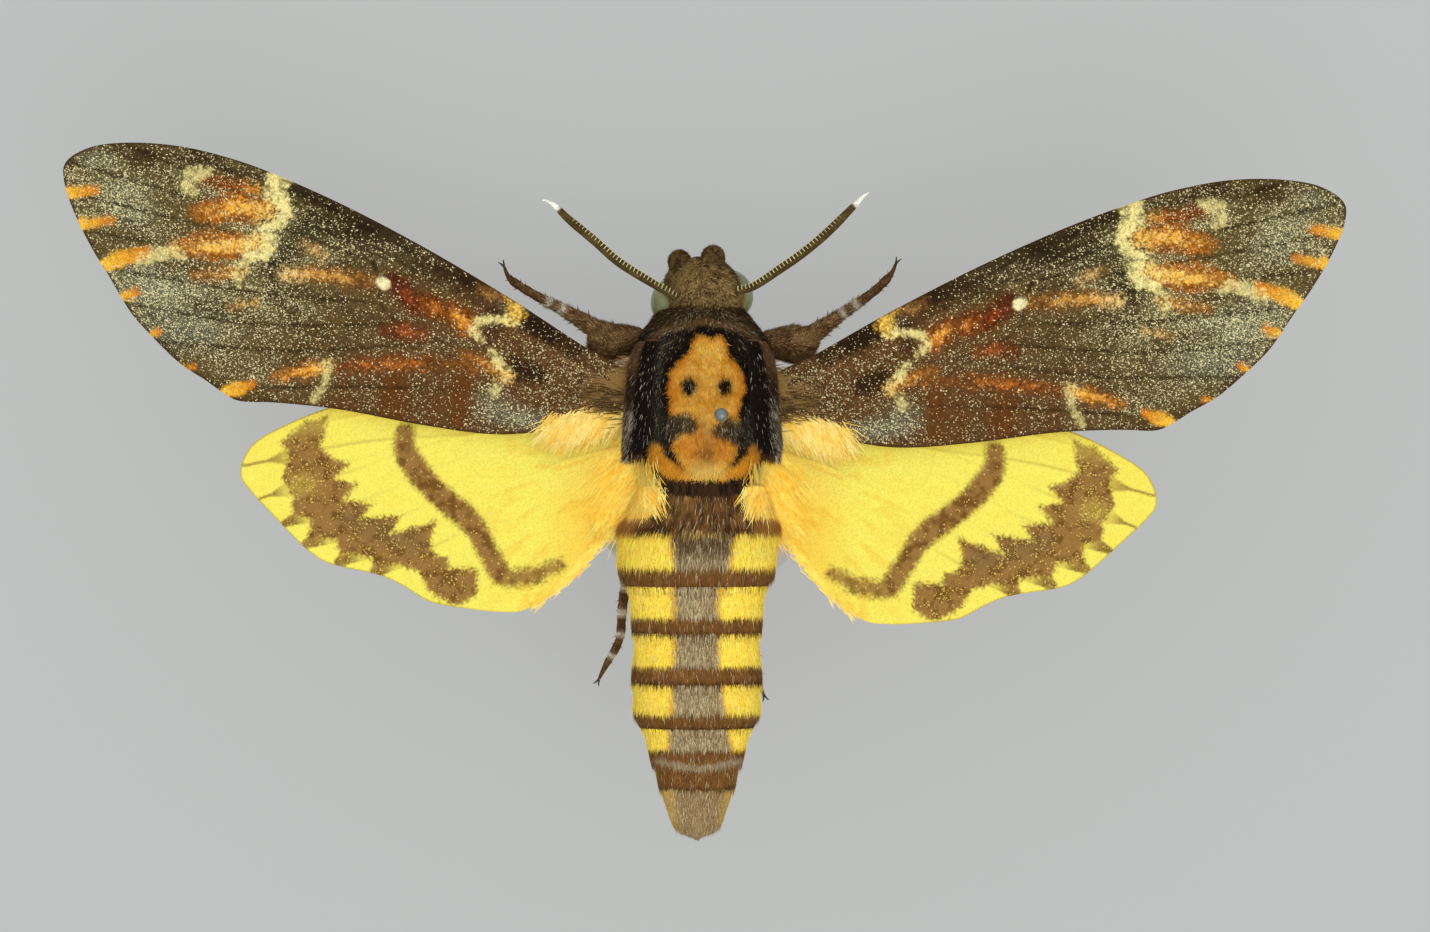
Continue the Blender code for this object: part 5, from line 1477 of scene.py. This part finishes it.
def row_of_parts():
    """A node tree that sets one shape along a line at even steps, and scales it by the line's own width."""
    tree, given, result = new_group("row_of_parts", "GeometryNodeTree", (
        ("Line", "Geometry"), ("Part", "Object"), ("Count", "Int", 10), ("Spread", "Float", 0.0),
        ("Seed", "Int", 1), ("Finish", "Material"),
    ), (("Parts", "Geometry"),))
    curve = add_node(tree, "GeometryNodeMeshToCurve", {"Mesh": given["Line"]}).outputs["Curve"]
    spots = add_node(tree, "GeometryNodeCurveToPoints", {"Curve": curve, "Count": given["Count"]}).outputs
    along = {"Vector": spots["Tangent"]}
    turn = add_node(tree, "FunctionNodeAlignRotationToVector", along, axis="X").outputs[0]
    upright = {"Rotation": turn, "Vector": (0, 0, 1)}
    turn = add_node(tree, "FunctionNodeAlignRotationToVector", upright, axis="Z", pivot_axis="X").outputs[0]
    width = add_node(tree, "GeometryNodeInputNamedAttribute", {"Name": "width"}, data_type="FLOAT").outputs[0]
    least = add_math(tree, "SUBTRACT", 1.0, given["Spread"])
    chance = {2: least, 3: 1.0, "Seed": given["Seed"]}
    vary = add_node(tree, "FunctionNodeRandomValue", chance, data_type="FLOAT").outputs[1]
    part = add_node(tree, "GeometryNodeObjectInfo", {"Object": given["Part"]}).outputs["Geometry"]
    parts = add_node(tree, "GeometryNodeInstanceOnPoints", {
        "Points": spots["Points"], "Instance": part, "Rotation": turn,
        "Scale": add_math(tree, "MULTIPLY", width, vary),
    }).outputs["Instances"]
    real = add_node(tree, "GeometryNodeRealizeInstances", {"Geometry": parts}).outputs["Geometry"]
    dressed = add_node(tree, "GeometryNodeSetMaterial", {"Geometry": real, "Material": given["Finish"]})
    set_inputs(tree, result, {"Parts": dressed.outputs["Geometry"]})
    return tree


ROW_TREE = row_of_parts()


def set_row(name, line, widths, part, count, spread, seed, finish, slot):
    """Sets the part along a line of points, as one plain mesh."""
    mesh = bpy.data.meshes.new(name)
    mesh.from_pydata([tuple(p) for p in line * MM], [(i, i + 1) for i in range(len(line) - 1)], [])
    mesh.attributes.new("width", "FLOAT", "POINT").data.foreach_set("value", np.asarray(widths, np.float32))
    carrier = new_object(name + "_line", mesh)
    step = carrier.modifiers.new("row", "NODES")
    step.node_group = ROW_TREE
    values = {"Part": part, "Count": count, "Spread": spread, "Seed": seed, "Finish": finish}
    for item in ROW_TREE.interface.items_tree:
        if item.item_type == "SOCKET" and item.in_out == "INPUT" and item.name in values:
            step[item.identifier] = values[item.name]
    made = bpy.data.meshes.new_from_object(carrier.evaluated_get(bpy.context.evaluated_depsgraph_get()))
    bpy.data.objects.remove(carrier, do_unlink=True)
    join_body(new_object(name, made))


def part_shape(name, points, faces):
    """A shape for set_row, on a rod of radius 1 that runs along X with up as Z."""
    mesh = bpy.data.meshes.new(name)
    mesh.from_pydata([tuple(c * MM for c in p) for p in points], [], faces)
    return new_object(name, mesh)


def ridge_shape():
    """Half a ring round the front of the rod."""
    inner, outer, thick = 0.85, 1.5, 0.16
    turns = np.linspace(math.radians(-40), math.radians(100), 9)
    points = []
    for turn in turns:
        share = (turn - turns[0]) / (turns[-1] - turns[0])
        reach = inner + (outer - inner) * math.sin(share * math.pi) ** 0.6
        for half, radius in ((-thick, inner), (-thick * 0.35, reach), (thick * 0.35, reach), (thick, inner)):
            points.append((half, radius * math.cos(turn), radius * math.sin(turn)))
    sides = [(i * 4 + k, i * 4 + (k + 1) % 4) for i in range(len(turns) - 1) for k in range(4)]
    faces = [(a, b, b + 4, a + 4) for a, b in sides]
    return part_shape("ridge", points, faces + [(0, 3, 2, 1), tuple(range(len(points) - 4, len(points)))])


def share_along(points, route, steps):
    """How far along a route, from 0 to 1, each point lies."""
    line = smooth_curve(route, steps)
    return np.linalg.norm(points[:, None] - line[None], axis=2).argmin(axis=1) / (steps - 1)


print("tree for rows with", len(ROW_TREE.nodes), "nodes")

# %% Feelers
ANTENNAE = {
    "l": [
        (-2.3, 16.9, 24.6), (-4.3, 18.05, 25.0), (-7.7, 20.15, 25.5), (-10.05, 22.2, 25.7),
        (-12.5, 24.25, 25.6), (-13.65, 25.4, 25.5), (-14.45, 25.95, 25.4), (-14.95, 26.05, 25.3),
    ],
    "r": [
        (3.2, 17.5, 24.6), (4.9, 18.0, 25.0), (7.2, 19.5, 25.4), (9.5, 21.1, 25.7),
        (11.75, 23.0, 25.7), (14.0, 25.25, 25.5), (15.2, 26.45, 25.4), (15.65, 26.75, 25.3),
    ],
}
ANTENNA_RADII = (0.34, 0.38, 0.41, 0.42, 0.42, 0.42, 0.41, 0.32, 0.05)
RIDGE_COUNT = 32
RIDGE_END = 0.78
WHITE_TIP = 0.88
ANTENNA_STEPS = 160


def feeler_paint(points, route):
    share = share_along(points, route, 120)
    rough = clouds(points[:, 0], points[:, 1], 0.7, 71)
    return lay(
        evenly((72, 60, 32), len(points)),
        (0.7 * ease(rough, 0.4, 0.7), (96, 78, 42)),
        (ease(share, WHITE_TIP - 0.01, WHITE_TIP + 0.02), (246, 244, 230)),
    )


rod_finish = scale_finish("antenna_horn", 0.6, 0.12, 0.3, FLECK_CREAM, 0.3)
ridge_finish = horn_finish("antenna_ridges", 0.6, (196, 186, 116), (236, 230, 172))
ridge = ridge_shape()
for suffix, route in ANTENNAE.items():
    net = tube_grid(route, ANTENNA_RADII, ANTENNA_STEPS, 14)
    paint = partial(feeler_paint, route=route)
    net_piece("feeler_" + suffix, net, rod_finish, ("antenna_" + suffix,), paint)
    line = smooth_curve(route, ANTENNA_STEPS)[3:int(ANTENNA_STEPS * RIDGE_END)]
    shares = np.linspace(0.02, RIDGE_END, len(line))
    widths = np.interp(shares, np.linspace(0, 1, len(ANTENNA_RADII)), ANTENNA_RADII)
    widths = widths * (1 - 0.2 * ease(shares, 0.5, RIDGE_END))
    way = -1 if suffix == "l" else 1
    row = (line[::way], widths[::way], ridge, RIDGE_COUNT, 0.08, 7)
    set_row("feeler_ridges_" + suffix, *row, ridge_finish, "antenna")

# %% Tongue
TONGUE_CENTRE = (0, 19.15, 15.2)
TONGUE_TURNS = 1.25
turns = np.radians(100) + 2 * math.pi * TONGUE_TURNS * np.linspace(0, 1, 60)
reach = np.linspace(1.75, 0.62, 60)
coil = np.column_stack([np.zeros(60), reach * np.cos(turns), reach * np.sin(turns)]) + TONGUE_CENTRE
tongue_net = turn_head(tube_grid(coil, (0.33, 0.31, 0.26, 0.2), 120, 16))
tongue_finish = horn_finish("tongue_horn", 0.4, (46, 28, 14), (88, 54, 26))
net_piece("tongue_coil", tongue_net, tongue_finish, ("tongue",))

# %% [markdown]
# ## Legs
# The legs are tucked beneath the wings, and only the front pair and the tip of one hind leg show from
# above. They are dressed in short flat scales, with white bands on the feet and small hooked claws.

# %% Legs
LEGS = {
    "foreleg_l": [
        (-5.6, 13.0, 19.6), (-7.2, 13.0, 19.8), (-8.9, 12.9, 20.1), (-10.3, 14.2, 20.4), (-12.8, 15.7, 20.5),
        (-16.0, 17.4, 20.3), (-18.1, 18.8, 20.0), (-18.8, 20.1, 19.6),
    ],
    "foreleg_r": [
        (5.6, 12.7, 19.6), (7.4, 12.7, 19.8), (9.3, 12.8, 20.1), (11.2, 14.1, 20.4), (13.6, 15.75, 20.5),
        (16.2, 17.6, 20.3), (17.8, 19.2, 20.0), (18.4, 20.4, 19.6),
    ],
    "midleg_r": [
        (3.2, 7.6, 16.6), (5.8, 6.6, 15.2), (8.6, 5.2, 15.4), (9.8, 1.6, 14.6), (10.7, -1.6, 13.8),
        (11.3, -4.4, 13.3), (11.8, -6.4, 13.0), (12.0, -7.2, 12.7),
    ],
    "hindleg_l": [
        (-2.6, 2.6, 16.6), (-4.4, 0.4, 14.8), (-6.4, -3.2, 14.6), (-6.9, -8.0, 14.8), (-7.6, -12.2, 15.2),
        (-7.9, -15.4, 15.4), (-9.2, -17.9, 15.4), (-9.9, -19.3, 15.2),
    ],
    "hindleg_r": [
        (2.6, 2.6, 16.6), (4.4, 0.4, 14.8), (5.9, -3.2, 14.2), (5.2, -8.0, 14.2), (4.9, -12.6, 14.4),
        (5.1, -16.4, 14.6), (5.5, -19.6, 14.8), (5.9, -20.8, 14.8),
    ],
}
LEGS["midleg_l"] = mirrored(LEGS["midleg_r"])
FORELEG_RADII = (
    (0.0, 1.1), (0.1, 1.5), (0.19, 1.85), (0.26, 1.7), (0.33, 0.9), (0.45, 0.66), (0.55, 0.52), (0.75, 0.46),
    (0.89, 0.42), (0.93, 0.22), (1.0, 0.12),
)
LOWER_LEG_RADII = (
    (0.0, 1.1), (0.14, 1.15), (0.29, 0.95), (0.43, 0.7), (0.57, 0.55), (0.71, 0.48), (0.9, 0.38), (1.0, 0.12),
)
FOOT_START, FOOT_END = 0.52, 0.9
FOOT_JOINTS = 5
LEG_STEPS = 90
FORE_BANDS = ((0.52, 0.55), (0.61, 0.64))
LOWER_BANDS = ((0.6, 0.63), (0.7, 0.73), (0.79, 0.81), (0.88, 0.9))
SPINE_COUNT = 16
SPINY = slice(34, 82)
CLAW_CURVE = ((0.3, 0), (0.55, 0.15), (0.6, 0.4))  # out from the foot, and down
CLAW_RADII = (0.1, 0.09, 0.06, 0.02)


def leg_radii(fore):
    """Radii along a leg, with the joints of the foot pinched in."""
    share = np.linspace(0, 1, LEG_STEPS)
    base = np.interp(share, *zip(*(FORELEG_RADII if fore else LOWER_LEG_RADII)))
    joints = np.abs(np.sin((share - FOOT_START) / (FOOT_END - FOOT_START) * FOOT_JOINTS * math.pi)) ** 0.4
    foot = ease(share, FOOT_START, FOOT_START + 0.02) * (share < FOOT_END)
    return base * (1 - foot * 0.22 * (1 - joints))


def leg_paint(points, route, bands):
    share = share_along(points, route, LEG_STEPS)
    rough = clouds(points[:, 0] + points[:, 2], points[:, 1], 0.5, 61)
    return lay(
        evenly((92, 66, 38), len(points)),
        (0.7 * ease(rough, 0.45, 0.7), (132, 104, 66)),
        (0.5 * ease(share, 0.5, 0.6), (74, 54, 34)),
        *((
            0.75 * ease(share, low - 0.008, low + 0.008) * (1 - ease(share, high - 0.008, high + 0.008)),
            (214, 206, 186),
        ) for low, high in bands),
    )


def spine_shape(lean):
    """A short spine, leaning towards the foot."""
    points = [(-0.16, 0.8, 0), (0.16, 0.8, 0.12), (0.16, 0.8, -0.12), (0.8 * lean, 1.75, 0)]
    return part_shape("spine", points, [(0, 2, 1), (0, 1, 3), (1, 2, 3), (2, 0, 3)])


spines = {1: spine_shape(1), -1: spine_shape(-1)}
leg_finish = scale_finish("leg_scales", 0.7, 0.13, 0.5, FLECK_CREAM, 0.6)
claw_finish = horn_finish("claw_horn", 0.35, (26, 16, 10), (60, 36, 20))
for name, route in LEGS.items():
    fore = name.startswith("foreleg")
    paint = partial(leg_paint, route=route, bands=FORE_BANDS if fore else LOWER_BANDS)
    net = tube_grid(route, leg_radii(fore), LEG_STEPS, 20)
    net_piece(name + "_limb", net, leg_finish, (name,), paint)
    tip = np.array(route[-1])
    way = unit(tip - np.array(route[-2]))
    for k, turn in (("a", 0.5), ("b", -0.5)):
        c, s = math.cos(turn), math.sin(turn)
        aside = np.array((way[0] * c - way[1] * s, way[0] * s + way[1] * c, 0))
        hook = [tip - way * 0.2] + [tip + aside * out - (0, 0, drop) for out, drop in CLAW_CURVE]
        net_piece(f"{name}_claw_{k}", tube_grid(hook, CLAW_RADII, 14, 8), claw_finish)
    foot, sizes = smooth_curve(route, LEG_STEPS)[SPINY], leg_radii(fore)[SPINY]
    for k, way in (("a", 1), ("b", -1)):
        row = (foot[::way], sizes[::way], spines[way], SPINE_COUNT, 0.3, 9)
        set_row(f"{name}_spines_{k}", *row, claw_finish, "leg_scales")
    if fore:
        places = scatter(net[:60], 6000, 400)
        rng = np.random.default_rng(401)
        n = len(places[0])
        colour = lay(paint(places[0]), ((rng.random(n) < 0.3) * rng.uniform(0.2, 0.8, n), (196, 164, 112)))
        tufts("coat_" + name, places, 0.55, 0.1, 0.4, colour, velvet, "leg_scales", 402, 0.4)

# The single ridge and spines are copied into their rows by now
for shape in (ridge, *spines.values()):
    bpy.data.objects.remove(shape, do_unlink=True)

# %% [markdown]
# ## Stand
# The moth hangs on a steel insect pin, as in a cabinet, and the pin stands in a turned wooden base.


# %% Pin and base
def lathe_net(profile, centre, sides):
    """A shape turned on a lathe, from its radii and heights."""
    radius, height = np.array(profile).T[..., None]
    radius = np.maximum(radius, 0.02)
    turn = np.linspace(0, 2 * math.pi, sides + 1)[None]
    around = (centre[0] + radius * np.cos(turn), centre[1] + radius * np.sin(turn))
    return np.stack([*around, np.repeat(height, sides + 1, axis=1)], -1)


def wood_finish():
    """Pale, limed wood, its grain running along X."""
    made = new_finish("base_wood", 0.5, Base_Color=opaque((196, 190, 180)), Coat_Weight=0.3)
    tree = made.node_tree
    stretch = add_node(tree, "ShaderNodeMapping", {"Scale": (60, 420, 420), "Vector": object_place(tree)})
    noise = {"Scale": 1.0, "Detail": 8, "Distortion": 0.6, "Vector": stretch.outputs["Vector"]}
    grain = add_node(tree, "ShaderNodeTexNoise", noise).outputs["Fac"]
    tone = two_tones(tree, grain, (0.32, 0.7), (182, 174, 162), (214, 210, 202))
    finish_with(made, {"Base Color": tone, "Normal": relief_of(tree, grain, 0.15, 0.0001)})
    return made


PIN_PLACE = (1.8, 5.8)
PIN_RADIUS, PIN_HEAD_RADIUS, PIN_TOP, PIN_POINT = 0.3, 0.63, 40.0, 2.3
HEAD_STEPS = 16
neck = PIN_TOP - 2 * PIN_HEAD_RADIUS
pin_profile = [
    (0.0, PIN_POINT), (PIN_RADIUS * 0.6, PIN_POINT), (PIN_RADIUS, PIN_POINT + 0.5), (PIN_RADIUS, neck - 0.1),
]
for k in range(1, HEAD_STEPS):
    turn = math.pi * k / HEAD_STEPS
    radius = max(PIN_HEAD_RADIUS * math.sin(turn), PIN_RADIUS if k < 3 else 0.0)
    pin_profile.append((radius, neck + PIN_HEAD_RADIUS * (1 - math.cos(turn))))
pin_profile.append((0.02, PIN_TOP))
steel = new_finish("pin_steel", 0.36, Base_Color=opaque((122, 130, 128)), Metallic=0.8)
net_piece("pin_rod", lathe_net(pin_profile, PIN_PLACE, 32), steel, ("stand_pin",))
base_profile = [
    (0.02, 0.0), (10.9, 0.0), (11.35, 0.15), (11.5, 0.5), (11.5, 2.2), (11.2, 2.55), (10.9, 2.75),
    (10.9, 3.05), (11.2, 3.3), (11.45, 3.8), (11.45, 4.6), (11.2, 5.2), (10.7, 5.7), (10.0, 5.95),
    (9.2, 6.0), (0.02, 6.0),
]
net_piece("base_turned", lathe_net(base_profile, (0, 0), 128), wood_finish(), ("stand_base",))
